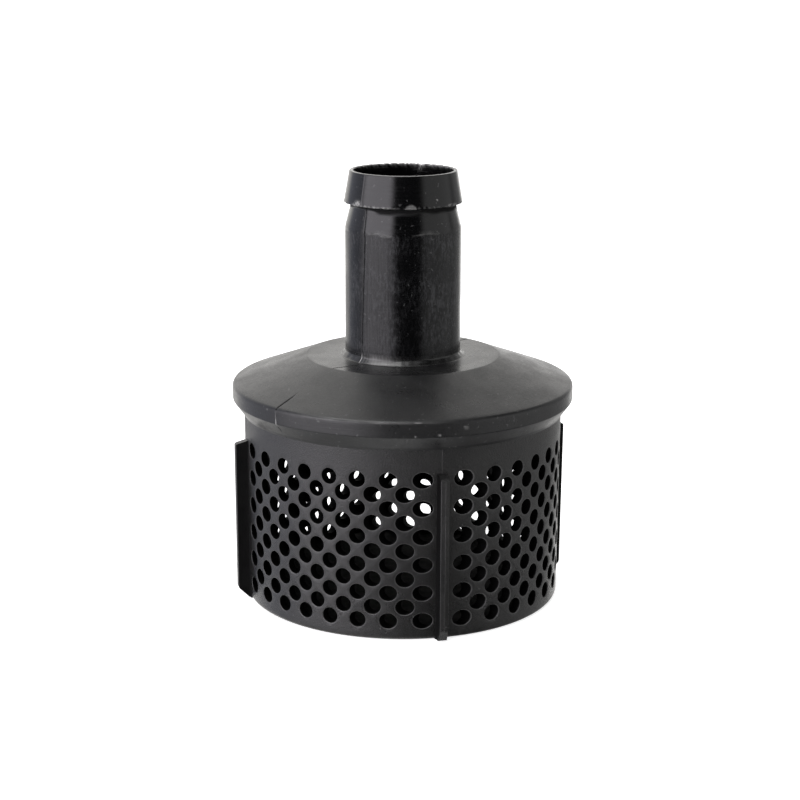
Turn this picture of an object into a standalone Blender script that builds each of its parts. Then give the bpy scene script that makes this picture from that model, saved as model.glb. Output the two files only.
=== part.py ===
"""Plastic foot valve for a 38 mm suction hose.

A hose-tail cap snaps over the rim of a perforated strainer basket. A dished seat plate is screwed to
the cap, and a hinged clapper on it lets water up into the hose and closes when the pump stops.

Frame: +Z up along the hose tail, the origin at the middle of the basket's foot. Azimuths are measured
from -Y towards +X, so azimuth 0 is the front rib of the basket. The clapper's hinge lies on the -X side.
"""

import math

import bmesh
import bpy
from mathutils import Matrix, Vector

MM = 0.001
PIECE_GAP = 0.3 * MM

# Hose tail, from the mouth down
TAIL_TOP = 140.4 * MM
BORE_RADIUS = 16.1 * MM
MOUTH_RADIUS = 17.4 * MM
MOUTH_EDGE = 0.35 * MM
BARB_RADIUS = 19.1 * MM
BARB_EDGE_HEIGHT = 130.3 * MM
BARB_EDGE_THICKNESS = 0.3 * MM
NECK_RADIUS = 16.9 * MM
NECK_DROP = 0.6 * MM
TAIL_RADIUS = 18.8 * MM
TAIL_SHOULDER_HEIGHT = 122.2 * MM
TAIL_BEAD = 1.2 * MM

# Cap
PLATEAU_HEIGHT = 80.1 * MM
PLATEAU_RADIUS = 31.6 * MM
SHOULDER_RADIUS = 55.8 * MM
SHOULDER_HEIGHT = 71.3 * MM
SHOULDER_ROUND = 2.4 * MM
SKIRT_FOOT_HEIGHT = 66.4 * MM
SKIRT_FOOT_ROUND = 0.8 * MM
LIP_HEIGHT = 61.6 * MM
LIP_RADIUS = 52.45 * MM
LIP_THICKNESS = 0.9 * MM
CAP_WALL = 2.8 * MM
SKIRT_INNER_RADIUS = 53.6 * MM
BORE_LEAD_IN = 3.0 * MM
LAND_HEIGHT = 68.9 * MM
LAND_INNER_RADIUS = 38.5 * MM

# Strainer basket
WALL_RADIUS = 52.1 * MM
WALL_THICKNESS = 2.5 * MM
FOOT_CHAMFER = 1.0 * MM
FOOT_INNER_RADIUS = 46.5 * MM
FLOOR_RECESS = 1.0 * MM
FLOOR_THICKNESS = 2.0 * MM
BEAD_FOOT_HEIGHT = 62.9 * MM
BEAD_DEPTH = 1.1 * MM
RIM_HEIGHT = 65.0 * MM

# Hole fields: one between each pair of ribs, every hole in a field parallel to the field's middle
RIBS = 4
HOLE_FIELD_TURN = math.radians(0.6)
HOLE_COLUMNS = 15
HOLE_ROWS = 11
HOLE_COLUMN_STEP = 4.54 * MM
HOLE_ROW_STEP = 4.56 * MM
HOLE_FIRST_ROW = 6.3 * MM
HOLE_RADIUS = 2.55 * MM
HOLE_SIDES = 6
HOLE_CUT_FROM = 35.5 * MM
HOLE_CUT_TO = 56.0 * MM

# Ribs on the basket
RIB_THICKNESS = 2.7 * MM
RIB_RADIUS = 56.2 * MM
RIB_ROOT_TOP = 54.3 * MM
RIB_TIP_TOP = 52.9 * MM
RIB_TIP_FOOT = 3.8 * MM
RIB_FOOT = 0.3 * MM
RIB_BURIED = 1.2 * MM

# Seat plate: a dish that hangs from a flange clamped under the cap's land
DISH_INNER_RADIUS = 38.5 * MM
DISH_WALL = 2.5 * MM
DISH_FLOOR_HEIGHT = 58.0 * MM
DISH_FLOOR_THICKNESS = 2.6 * MM
FLANGE_RADIUS = 53.2 * MM
FLANGE_THICKNESS = 2.0 * MM

# Gasket between the flange and the land
GASKET_INNER_RADIUS = 48.4 * MM
GASKET_THICKNESS = 1.0 * MM

# Screws that hold the seat plate to the cap
PLATE_SCREWS = 4
PLATE_SCREW_CIRCLE = 45.5 * MM
PLATE_SCREW_LENGTH = 8.0 * MM

# Small pan-head screws, used for the plate and for the hinge bracket
SCREW_RADIUS = 1.3 * MM
SCREW_HEAD_RADIUS = 2.6 * MM
SCREW_HEAD_HEIGHT = 1.8 * MM
SCREW_SLOT_WIDTH = 0.7 * MM
SCREW_SLOT_DEPTH = 0.8 * MM

# Seat ring, pressed into the port of the dish
PORT_RADIUS = 13.5 * MM
SEAT_RING_RADIUS = 16.0 * MM
SEAT_RIM_RADIUS = 18.0 * MM
SEAT_RIM_THICKNESS = 1.5 * MM

# Clapper, stacked from the seat upwards
SEAL_RADIUS = 17.2 * MM
SEAL_THICKNESS = 2.0 * MM
CARRIER_RADIUS = 16.2 * MM
CARRIER_THICKNESS = 2.2 * MM
CARRIER_RIM_WIDTH = 1.8 * MM
CARRIER_RIM_HEIGHT = 1.0 * MM
RETAINER_RADIUS = 10.5 * MM
RETAINER_THICKNESS = 1.2 * MM
BOLT_RADIUS = 2.5 * MM
BOLT_HEX_RADIUS = 4.6 * MM
BOLT_HEAD_HEIGHT = 3.1 * MM
BOLT_END_BEYOND_NUT = 1.0 * MM
LOCK_WASHER_RADIUS = 4.4 * MM
LOCK_WASHER_THICKNESS = 1.0 * MM
NUT_HEIGHT = 4.0 * MM

# Hinge
HINGE_X = -22.0 * MM
HINGE_Z = 63.5 * MM
KNUCKLE_RADIUS = 3.0 * MM
KNUCKLE_HALF_LENGTH = 6.0 * MM
ARM_THICKNESS = 1.8 * MM
ARM_REACH = -13.5 * MM
PIN_RADIUS = 1.25 * MM
PIN_HALF_LENGTH = 10.4 * MM
EAR_INNER_Y = 6.4 * MM
EAR_THICKNESS = 1.8 * MM
EAR_RADIUS = 3.2 * MM
BRACKET_BACK_X = -33.5 * MM
BRACKET_FRONT_X = -18.7 * MM
BRACKET_HALF_WIDTH = 12.0 * MM
BRACKET_THICKNESS = 1.5 * MM
BRACKET_SCREW_X = -29.4 * MM
BRACKET_SCREW_Y = 7.6 * MM
BRACKET_SCREW_LENGTH = 5.2 * MM
CLIP_RADIUS = 2.9 * MM
CLIP_THICKNESS = 0.8 * MM

# Sides of round pieces
CAP_STEPS = 64
PLATE_STEPS = 48
DISC_STEPS = 40
SMALL_STEPS = 20
SCREW_STEPS = 12

# Values worked out from the ones above
INNER_RADIUS = WALL_RADIUS - WALL_THICKNESS
FLANGE_FOOT = RIM_HEIGHT + PIECE_GAP
FLANGE_TOP = FLANGE_FOOT + FLANGE_THICKNESS
GASKET_FOOT = FLANGE_TOP + PIECE_GAP
DISH_OUTER_RADIUS = DISH_INNER_RADIUS + DISH_WALL
DISH_FOOT = DISH_FLOOR_HEIGHT - DISH_FLOOR_THICKNESS
SEAT_RIM_FOOT = DISH_FLOOR_HEIGHT + PIECE_GAP
SEAT_HEIGHT = SEAT_RIM_FOOT + SEAT_RIM_THICKNESS
SEAL_FOOT = SEAT_HEIGHT + PIECE_GAP
CARRIER_FOOT = SEAL_FOOT + SEAL_THICKNESS + PIECE_GAP
CARRIER_TOP = CARRIER_FOOT + CARRIER_THICKNESS
RETAINER_TOP = SEAL_FOOT - PIECE_GAP
RETAINER_FOOT = RETAINER_TOP - RETAINER_THICKNESS
BOLT_HEAD_TOP = RETAINER_FOOT - PIECE_GAP
LOCK_WASHER_FOOT = CARRIER_TOP + PIECE_GAP
NUT_FOOT = LOCK_WASHER_FOOT + LOCK_WASHER_THICKNESS + PIECE_GAP
BOLT_TOP = NUT_FOOT + NUT_HEIGHT + BOLT_END_BEYOND_NUT
BRACKET_FOOT = DISH_FLOOR_HEIGHT + PIECE_GAP
BRACKET_TOP = BRACKET_FOOT + BRACKET_THICKNESS
CONE_FALL = (PLATEAU_HEIGHT - SHOULDER_HEIGHT) / (SHOULDER_RADIUS - PLATEAU_RADIUS)
CEILING_HEIGHT = PLATEAU_HEIGHT - CAP_WALL
CEILING_FLAT_RADIUS = PLATEAU_RADIUS - CAP_WALL
FIELD_MIDDLES = [math.pi / RIBS * (2 * k + 1) + HOLE_FIELD_TURN for k in range(RIBS)]


def outward(azimuth):
    """Unit vector away from the axis at this azimuth."""
    return Vector((math.sin(azimuth), -math.cos(azimuth), 0.0))


def sideways(azimuth):
    """Unit vector along which the azimuth grows."""
    return Vector((math.cos(azimuth), math.sin(azimuth), 0.0))


def clear_scene():
    for obj in list(bpy.data.objects):
        bpy.data.objects.remove(obj, do_unlink=True)


def make_collection(name):
    collection = bpy.data.collections.new(name)
    bpy.context.scene.collection.children.link(collection)
    return collection


def make_material(name, colour, roughness, metallic=0.0):
    material = bpy.data.materials.new(name)
    material.use_nodes = True
    shader = material.node_tree.nodes["Principled BSDF"]
    shader.inputs["Base Color"].default_value = (*colour, 1.0)
    shader.inputs["Roughness"].default_value = roughness
    shader.inputs["Metallic"].default_value = metallic
    return material


clear_scene()
PARTS = make_collection("foot_valve")
CUTTERS = make_collection("cutters")
CAP_PLASTIC = make_material("cap_polyethylene", (0.035, 0.036, 0.040), 0.42)
BASKET_PLASTIC = make_material("basket_polyethylene", (0.040, 0.040, 0.044), 0.55)
PLATE_PLASTIC = make_material("seat_plate_plastic", (0.050, 0.052, 0.056), 0.50)
RUBBER = make_material("nitrile_rubber", (0.020, 0.020, 0.022), 0.75)
STEEL = make_material("stainless_steel", (0.62, 0.62, 0.60), 0.30, 1.0)
BRASS = make_material("brass", (0.72, 0.55, 0.28), 0.32, 1.0)


def add_part(name, mesh, material):
    mesh.materials.clear()
    mesh.materials.append(material)
    obj = bpy.data.objects.new(name, mesh)
    PARTS.objects.link(obj)
    return obj


def add_cutter(name, mesh):
    obj = bpy.data.objects.new(name, mesh)
    obj.hide_render = True
    obj.display_type = "WIRE"
    CUTTERS.objects.link(obj)
    return obj


def combine(obj, other, operation):
    """Adds a Boolean modifier to obj, with other as its second operand."""
    modifier = obj.modifiers.new(operation.lower(), "BOOLEAN")
    modifier.operation = operation
    modifier.solver = "EXACT"
    modifier.object = other


def smooth(mesh, degrees=35.0):
    mesh.shade_smooth()
    mesh.set_sharp_from_angle(angle=math.radians(degrees))


def profile_mesh(name, profile, closed):
    """Wire mesh of a profile given as (radius, height) pairs, in the X-Z plane."""
    edges = [(k, k + 1) for k in range(len(profile) - 1)]
    if closed:
        edges.append((len(profile) - 1, 0))
    mesh = bpy.data.meshes.new(name)
    mesh.from_pydata([(radius, 0.0, height) for radius, height in profile], edges, [])
    return mesh


def add_screw(obj, steps):
    """Turns the object's profile once round its Z axis."""
    modifier = obj.modifiers.new("turn", "SCREW")
    modifier.axis = "Z"
    modifier.angle = math.tau
    modifier.steps = steps
    modifier.render_steps = steps
    modifier.use_merge_vertices = True
    modifier.merge_threshold = 0.00001
    modifier.use_smooth_shade = False


def turned_ring(name, profile, steps, material):
    """A turned piece with a bore: the profile runs down the outside and up the bore."""
    obj = add_part(name, profile_mesh(name, profile, True), material)
    add_screw(obj, steps)
    return obj


def turned_solid(name, profile, steps, material):
    """A turned piece with no bore: the profile runs from the axis, down the outside, back to the axis."""
    obj = add_part(name, profile_mesh(name, profile, False), material)
    add_screw(obj, steps)
    return obj


def washer_profile(inner, outer, foot, top):
    return [(outer, top), (outer, foot), (inner, foot), (inner, top)]


def cylinder_mesh(name, radius, length, sides, placing):
    """A capped cylinder along the placing matrix's Z axis, centred on it."""
    bm = bmesh.new()
    bmesh.ops.create_cone(
        bm, cap_ends=True, segments=sides, radius1=radius, radius2=radius, depth=length, matrix=placing
    )
    mesh = bpy.data.meshes.new(name)
    bm.to_mesh(mesh)
    bm.free()
    return mesh


def upright(x, y, foot, top):
    """Placing matrix for an upright cylinder between two heights."""
    return Matrix.Translation((x, y, (foot + top) / 2))


def drill_upright(obj, name, radius, x, y, foot, top, sides=SCREW_STEPS):
    mesh = cylinder_mesh(name, radius, top - foot, sides, upright(x, y, foot, top))
    combine(obj, add_cutter(name, mesh), "DIFFERENCE")


def along_hinge(half_length, middle_y=0.0):
    """Placing matrix for a cylinder round the hinge axis, which is parallel to Y."""
    return Matrix.Translation((HINGE_X, middle_y, HINGE_Z)) @ Matrix.Rotation(math.pi / 2, 4, "X")


def box_mesh(name, low, high):
    low = Vector(low)
    high = Vector(high)
    bm = bmesh.new()
    size = high - low
    placing = Matrix.Translation((low + high) / 2) @ Matrix.Diagonal((*size, 1.0))
    bmesh.ops.create_cube(bm, size=1.0, matrix=placing)
    mesh = bpy.data.meshes.new(name)
    bm.to_mesh(mesh)
    bm.free()
    return mesh


def plate_from_outline(name, outline, thickness, placing):
    """Mesh of a flat plate: the outline's plane is X-Y, and its thickness is centred on that plane."""
    curve = bpy.data.curves.new(name, "CURVE")
    curve.dimensions = "2D"
    curve.fill_mode = "BOTH"
    curve.extrude = thickness / 2
    spline = curve.splines.new("POLY")
    spline.points.add(len(outline) - 1)
    for point, (x, y) in zip(spline.points, outline):
        point.co = (x, y, 0.0, 1.0)
    spline.use_cyclic_u = True
    holder = bpy.data.objects.new(name, curve)
    CUTTERS.objects.link(holder)
    bpy.context.view_layer.update()
    evaluated = holder.evaluated_get(bpy.context.evaluated_depsgraph_get())
    mesh = bpy.data.meshes.new_from_object(evaluated)
    bpy.data.objects.remove(holder, do_unlink=True)
    bm = bmesh.new()
    bm.from_mesh(mesh)
    bmesh.ops.remove_doubles(bm, verts=bm.verts, dist=0.000001)
    bmesh.ops.recalc_face_normals(bm, faces=bm.faces)
    bm.transform(placing)
    bm.to_mesh(mesh)
    bm.free()
    return mesh


def arc(centre, radius, start, end, points):
    """Points along an arc, angles in radians, both ends included."""
    step = (end - start) / (points - 1)
    angles = [start + step * k for k in range(points)]
    return [(centre[0] + radius * math.cos(a), centre[1] + radius * math.sin(a)) for a in angles]


def round_corner(before, corner, after, radius, points):
    """Points of a fillet at a corner of a profile."""
    corner = Vector(corner)
    towards_before = (Vector(before) - corner).normalized()
    towards_after = (Vector(after) - corner).normalized()
    half_angle = towards_before.angle(towards_after) / 2
    middle = (towards_before + towards_after).normalized()
    centre = corner + middle * (radius / math.sin(half_angle))
    start = corner + towards_before * (radius / math.tan(half_angle)) - centre
    end = corner + towards_after * (radius / math.tan(half_angle)) - centre
    first = math.atan2(start.y, start.x)
    turn = math.remainder(math.atan2(end.y, end.x) - first, math.tau)
    return arc(centre, radius, first, first + turn, points)


def build_cap():
    """Hose tail, plateau, cone and skirt in one moulding, with the bore and the valve chamber inside."""
    skirt_foot = (SHOULDER_RADIUS, SKIRT_FOOT_HEIGHT)
    lip_foot = (LIP_RADIUS, LIP_HEIGHT)
    shoulder = (SHOULDER_RADIUS, SHOULDER_HEIGHT)
    plateau_edge = (PLATEAU_RADIUS, PLATEAU_HEIGHT)
    ceiling_edge_height = CEILING_HEIGHT - CONE_FALL * (LAND_INNER_RADIUS - CEILING_FLAT_RADIUS)
    lip_slope_rise = SKIRT_INNER_RADIUS - LIP_RADIUS
    profile = [
        (MOUTH_RADIUS - MOUTH_EDGE, TAIL_TOP),
        (MOUTH_RADIUS, TAIL_TOP - MOUTH_EDGE),
        (BARB_RADIUS, BARB_EDGE_HEIGHT + BARB_EDGE_THICKNESS),
        (BARB_RADIUS, BARB_EDGE_HEIGHT),
        (NECK_RADIUS, BARB_EDGE_HEIGHT - NECK_DROP),
        (TAIL_RADIUS, TAIL_SHOULDER_HEIGHT),
        (TAIL_RADIUS, PLATEAU_HEIGHT + TAIL_BEAD),
        (TAIL_RADIUS + TAIL_BEAD, PLATEAU_HEIGHT),
        plateau_edge,
    ]
    profile += round_corner(plateau_edge, shoulder, skirt_foot, SHOULDER_ROUND, 5)
    profile += round_corner(shoulder, skirt_foot, lip_foot, SKIRT_FOOT_ROUND, 3)
    profile += [
        lip_foot,
        (LIP_RADIUS, LIP_HEIGHT + LIP_THICKNESS),
        (SKIRT_INNER_RADIUS, LIP_HEIGHT + LIP_THICKNESS + lip_slope_rise),
        (SKIRT_INNER_RADIUS, LAND_HEIGHT),
        (LAND_INNER_RADIUS, LAND_HEIGHT),
        (LAND_INNER_RADIUS, ceiling_edge_height),
        (CEILING_FLAT_RADIUS, CEILING_HEIGHT),
        (BORE_RADIUS + BORE_LEAD_IN, CEILING_HEIGHT),
        (BORE_RADIUS, CEILING_HEIGHT + BORE_LEAD_IN),
        (BORE_RADIUS, TAIL_TOP),
    ]
    cap = turned_ring("hose_tail_cap", profile, CAP_STEPS, CAP_PLASTIC)
    smooth(cap.data)
    pilot_top = FLANGE_FOOT + PLATE_SCREW_LENGTH + PIECE_GAP
    for number, place in enumerate(plate_screw_places(), start=1):
        name = f"cap_pilot_hole_{number}"
        pilot_foot = LAND_HEIGHT - PIECE_GAP
        drill_upright(cap, name, SCREW_RADIUS + PIECE_GAP, place.x, place.y, pilot_foot, pilot_top)


def plate_screw_places():
    azimuths = [math.pi / PLATE_SCREWS * (2 * k + 1) for k in range(PLATE_SCREWS)]
    return [outward(azimuth) * PLATE_SCREW_CIRCLE for azimuth in azimuths]


def plan_azimuths(radius):
    """Azimuths of the wall's corners, which stand between the hole columns on a circle of this radius."""
    azimuths = []
    for middle in FIELD_MIDDLES:
        for k in range(HOLE_COLUMNS + 1):
            across = (k - HOLE_COLUMNS / 2) * HOLE_COLUMN_STEP
            azimuths.append(middle + math.asin(across / radius))
    return azimuths


def basket_body_mesh():
    """Loft of many-sided plan sections: each side of the wall holds one column of holes."""
    outer = plan_azimuths(WALL_RADIUS)
    inner = plan_azimuths(INNER_RADIUS)
    floor_top = FLOOR_RECESS + FLOOR_THICKNESS
    sections = [
        (inner, FOOT_INNER_RADIUS - FLOOR_RECESS, FLOOR_RECESS),
        (inner, FOOT_INNER_RADIUS, 0.0),
        (outer, WALL_RADIUS - FOOT_CHAMFER, 0.0),
        (outer, WALL_RADIUS, FOOT_CHAMFER),
        (outer, WALL_RADIUS, BEAD_FOOT_HEIGHT),
        (outer, WALL_RADIUS + BEAD_DEPTH, BEAD_FOOT_HEIGHT + BEAD_DEPTH),
        (outer, WALL_RADIUS + BEAD_DEPTH, RIM_HEIGHT),
        (inner, INNER_RADIUS, RIM_HEIGHT),
        (inner, INNER_RADIUS, floor_top),
    ]
    bm = bmesh.new()
    rings = []
    for azimuths, radius, height in sections:
        corners = [outward(azimuth) * radius + Vector((0.0, 0.0, height)) for azimuth in azimuths]
        rings.append([bm.verts.new(corner) for corner in corners])
    for lower, upper in zip(rings, rings[1:]):
        for k in range(len(lower)):
            following = (k + 1) % len(lower)
            bm.faces.new((lower[k], lower[following], upper[following], upper[k]))
    bm.faces.new(rings[0])
    bm.faces.new(rings[-1])
    bmesh.ops.recalc_face_normals(bm, faces=bm.faces)
    mesh = bpy.data.meshes.new("strainer_basket")
    bm.to_mesh(mesh)
    bm.free()
    return mesh


def hole_field_mesh():
    """Prisms for every hole of the four fields. A field's prisms all point along the field's middle."""
    bm = bmesh.new()
    length = HOLE_CUT_TO - HOLE_CUT_FROM
    middle_distance = (HOLE_CUT_TO + HOLE_CUT_FROM) / 2
    for middle in FIELD_MIDDLES:
        turn = Matrix((sideways(middle), (0.0, 0.0, 1.0), outward(middle))).transposed().to_4x4()
        for column in range(HOLE_COLUMNS):
            across = (column - (HOLE_COLUMNS - 1) / 2) * HOLE_COLUMN_STEP
            for row in range(column % 2, HOLE_ROWS, 2):
                height = HOLE_FIRST_ROW + row * HOLE_ROW_STEP
                place = sideways(middle) * across + outward(middle) * middle_distance
                placing = Matrix.Translation(place + Vector((0.0, 0.0, height))) @ turn
                bmesh.ops.create_cone(
                    bm,
                    cap_ends=True,
                    segments=HOLE_SIDES,
                    radius1=HOLE_RADIUS,
                    radius2=HOLE_RADIUS,
                    depth=length,
                    matrix=placing,
                )
    mesh = bpy.data.meshes.new("hole_fields")
    bm.to_mesh(mesh)
    bm.free()
    return mesh


def build_basket():
    """Perforated wall with a closed floor, a snap bead at the rim and four ribs."""
    basket = add_part("strainer_basket", basket_body_mesh(), BASKET_PLASTIC)
    outline = [
        (WALL_RADIUS - RIB_BURIED, RIB_FOOT),
        (WALL_RADIUS + RIB_FOOT, RIB_FOOT),
        (RIB_RADIUS, RIB_TIP_FOOT),
        (RIB_RADIUS, RIB_TIP_TOP),
        (WALL_RADIUS - RIB_BURIED, RIB_ROOT_TOP),
    ]
    for k in range(RIBS):
        azimuth = math.tau / RIBS * k
        turn = Matrix((outward(azimuth), (0.0, 0.0, 1.0), sideways(azimuth))).transposed().to_4x4()
        name = f"rib_{k + 1}"
        combine(basket, add_cutter(name, plate_from_outline(name, outline, RIB_THICKNESS, turn)), "UNION")
    combine(basket, add_cutter("hole_fields", hole_field_mesh()), "DIFFERENCE")


def build_seat_plate():
    """Dish with a port in its floor, hung from a flange that the rim of the basket backs."""
    profile = [
        (FLANGE_RADIUS, FLANGE_TOP),
        (FLANGE_RADIUS, FLANGE_FOOT),
        (DISH_OUTER_RADIUS, FLANGE_FOOT),
        (DISH_OUTER_RADIUS, DISH_FOOT),
        (SEAT_RING_RADIUS + PIECE_GAP, DISH_FOOT),
        (SEAT_RING_RADIUS + PIECE_GAP, DISH_FLOOR_HEIGHT),
        (DISH_INNER_RADIUS, DISH_FLOOR_HEIGHT),
        (DISH_INNER_RADIUS, FLANGE_TOP),
    ]
    plate = turned_ring("valve_seat_plate", profile, PLATE_STEPS, PLATE_PLASTIC)
    for number, place in enumerate(plate_screw_places(), start=1):
        name = f"flange_hole_{number}"
        foot = FLANGE_FOOT - PIECE_GAP
        top = FLANGE_TOP + PIECE_GAP
        drill_upright(plate, name, SCREW_RADIUS + PIECE_GAP, place.x, place.y, foot, top)
    for number, side in enumerate((-1, 1), start=1):
        name = f"dish_floor_hole_{number}"
        foot = DISH_FOOT - PIECE_GAP
        top = DISH_FLOOR_HEIGHT + PIECE_GAP
        y = side * BRACKET_SCREW_Y
        drill_upright(plate, name, SCREW_RADIUS + PIECE_GAP, BRACKET_SCREW_X, y, foot, top)


def build_seat_ring():
    """Flanged ring in the port. Its flat top is the seat that the seal closes on."""
    profile = [
        (SEAT_RIM_RADIUS, SEAT_HEIGHT),
        (SEAT_RIM_RADIUS, SEAT_RIM_FOOT),
        (SEAT_RING_RADIUS, SEAT_RIM_FOOT),
        (SEAT_RING_RADIUS, DISH_FOOT),
        (PORT_RADIUS, DISH_FOOT),
        (PORT_RADIUS, SEAT_HEIGHT),
    ]
    turned_ring("seat_ring", profile, DISC_STEPS, BRASS)


def build_gasket():
    profile = washer_profile(
        GASKET_INNER_RADIUS, FLANGE_RADIUS, GASKET_FOOT, GASKET_FOOT + GASKET_THICKNESS
    )
    turned_ring("cap_gasket", profile, PLATE_STEPS, RUBBER)


def pan_head_screw(name, x, y, head_low, head_high, tip):
    """Pan-head screw with a driver slot. The shank runs from the head to the height of the tip."""
    upwards = tip > head_high
    face = head_low if upwards else head_high
    seat = head_high if upwards else head_low
    side = 1 if upwards else -1
    edge = SCREW_HEAD_RADIUS - 0.5 * MM
    profile = [
        (0.0, face),
        (edge, face),
        (SCREW_HEAD_RADIUS, face + side * 0.5 * MM),
        (SCREW_HEAD_RADIUS, seat),
        (SCREW_RADIUS, seat),
        (SCREW_RADIUS, tip - side * 0.6 * MM),
        (SCREW_RADIUS - 0.6 * MM, tip),
        (0.0, tip),
    ]
    if upwards:
        profile.reverse()
    screw = turned_solid(name, profile, SCREW_STEPS, STEEL)
    screw.location = (x, y, 0.0)
    slot_floor = face + side * SCREW_SLOT_DEPTH
    slot_end = face - side * SCREW_SLOT_DEPTH
    half = SCREW_SLOT_WIDTH / 2
    reach = SCREW_HEAD_RADIUS + PIECE_GAP
    low = (x - reach, y - half, min(slot_floor, slot_end))
    high = (x + reach, y + half, max(slot_floor, slot_end))
    combine(screw, add_cutter(f"{name}_slot", box_mesh(f"{name}_slot", low, high)), "DIFFERENCE")


def build_screws():
    head_top = FLANGE_FOOT - PIECE_GAP
    head_foot = head_top - SCREW_HEAD_HEIGHT
    for number, place in enumerate(plate_screw_places(), start=1):
        tip = head_top + PLATE_SCREW_LENGTH
        pan_head_screw(f"plate_screw_{number}", place.x, place.y, head_foot, head_top, tip)
    head_foot = BRACKET_TOP + PIECE_GAP
    head_top = head_foot + SCREW_HEAD_HEIGHT
    for number, side in enumerate((-1, 1), start=1):
        tip = head_foot - BRACKET_SCREW_LENGTH
        y = side * BRACKET_SCREW_Y
        pan_head_screw(f"bracket_screw_{number}", BRACKET_SCREW_X, y, head_foot, head_top, tip)


def build_bracket():
    """Foot plate on the dish floor with two ears that carry the hinge pin."""
    low = (BRACKET_BACK_X, -BRACKET_HALF_WIDTH, BRACKET_FOOT)
    high = (BRACKET_FRONT_X, BRACKET_HALF_WIDTH, BRACKET_TOP)
    bracket = add_part("hinge_bracket", box_mesh("hinge_bracket", low, high), STEEL)
    ear_foot = BRACKET_TOP - BRACKET_THICKNESS / 2
    outline = [(HINGE_X + EAR_RADIUS, ear_foot)]
    outline += arc((HINGE_X, HINGE_Z), EAR_RADIUS, 0.0, math.pi, 13)
    outline += [(HINGE_X - EAR_RADIUS, ear_foot)]
    for number, side in enumerate((-1, 1), start=1):
        middle_y = side * (EAR_INNER_Y + EAR_THICKNESS / 2)
        placing = Matrix.Translation((0.0, middle_y, 0.0)) @ Matrix.Rotation(math.pi / 2, 4, "X")
        name = f"bracket_ear_{number}"
        mesh = plate_from_outline(name, outline, EAR_THICKNESS, placing)
        combine(bracket, add_cutter(name, mesh), "UNION")
    hole_length = 2 * (EAR_INNER_Y + EAR_THICKNESS) + 2 * MM
    mesh = cylinder_mesh("ear_hole", PIN_RADIUS + PIECE_GAP, hole_length, SMALL_STEPS, along_hinge(0.0))
    combine(bracket, add_cutter("ear_hole", mesh), "DIFFERENCE")
    for number, side in enumerate((-1, 1), start=1):
        name = f"bracket_hole_{number}"
        foot = BRACKET_FOOT - PIECE_GAP
        top = BRACKET_TOP + PIECE_GAP
        y = side * BRACKET_SCREW_Y
        drill_upright(bracket, name, SCREW_RADIUS + PIECE_GAP, BRACKET_SCREW_X, y, foot, top)


def build_pin_and_clips():
    """The pin runs through both ears and the knuckle, and a clip stands outside each ear."""
    profile = [
        (0.0, PIN_HALF_LENGTH),
        (PIN_RADIUS, PIN_HALF_LENGTH),
        (PIN_RADIUS, -PIN_HALF_LENGTH),
        (0.0, -PIN_HALF_LENGTH),
    ]
    pin = turned_solid("hinge_pin", profile, SMALL_STEPS, STEEL)
    pin.location = (HINGE_X, 0.0, HINGE_Z)
    pin.rotation_euler = (math.pi / 2, 0.0, 0.0)
    profile = washer_profile(PIN_RADIUS + PIECE_GAP, CLIP_RADIUS, -CLIP_THICKNESS / 2, CLIP_THICKNESS / 2)
    middle = EAR_INNER_Y + EAR_THICKNESS + PIECE_GAP + CLIP_THICKNESS / 2
    for number, side in enumerate((-1, 1), start=1):
        clip = turned_ring(f"pin_clip_{number}", profile, SMALL_STEPS, STEEL)
        clip.location = (HINGE_X, side * middle, HINGE_Z)
        clip.rotation_euler = (math.pi / 2, 0.0, 0.0)


def hinge_parent():
    """Empty on the hinge axis. Everything that swings with the clapper is its child."""
    hinge = bpy.data.objects.new("clapper_hinge", None)
    hinge.location = (HINGE_X, 0.0, HINGE_Z)
    PARTS.objects.link(hinge)
    bpy.context.view_layer.update()
    return hinge


def hang_on(hinge, obj):
    obj.parent = hinge
    obj.matrix_parent_inverse = hinge.matrix_world.inverted()


def build_carrier(hinge):
    """Round disc with a raised rim, joined by a short arm to the hinge knuckle."""
    rim_inner = CARRIER_RADIUS - CARRIER_RIM_WIDTH
    rim_top = CARRIER_TOP + CARRIER_RIM_HEIGHT
    hole = BOLT_RADIUS + PIECE_GAP
    profile = [
        (CARRIER_RADIUS, rim_top),
        (CARRIER_RADIUS, CARRIER_FOOT),
        (hole, CARRIER_FOOT),
        (hole, CARRIER_TOP),
        (rim_inner, CARRIER_TOP),
        (rim_inner, rim_top),
    ]
    carrier = turned_ring("clapper_carrier", profile, DISC_STEPS, PLATE_PLASTIC)
    arm_middle = (CARRIER_FOOT + CARRIER_TOP) / 2
    low = arm_middle - ARM_THICKNESS / 2 - HINGE_Z
    high = arm_middle + ARM_THICKNESS / 2 - HINGE_Z
    first = math.asin(high / KNUCKLE_RADIUS)
    last = math.tau + math.asin(low / KNUCKLE_RADIUS)
    outline = [(ARM_REACH, HINGE_Z + high)]
    outline += arc((HINGE_X, HINGE_Z), KNUCKLE_RADIUS, first, last, 17)
    outline += [(ARM_REACH, HINGE_Z + low)]
    placing = Matrix.Rotation(math.pi / 2, 4, "X")
    mesh = plate_from_outline("knuckle_arm", outline, 2 * KNUCKLE_HALF_LENGTH, placing)
    combine(carrier, add_cutter("knuckle_arm", mesh), "UNION")
    hole_length = 2 * KNUCKLE_HALF_LENGTH + 2 * MM
    mesh = cylinder_mesh("knuckle_hole", PIN_RADIUS + PIECE_GAP, hole_length, SMALL_STEPS, along_hinge(0.0))
    combine(carrier, add_cutter("knuckle_hole", mesh), "DIFFERENCE")
    hang_on(hinge, carrier)


def hexagon_prism(name, foot, top):
    return cylinder_mesh(name, BOLT_HEX_RADIUS, top - foot, 6, upright(0.0, 0.0, foot, top))


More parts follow.
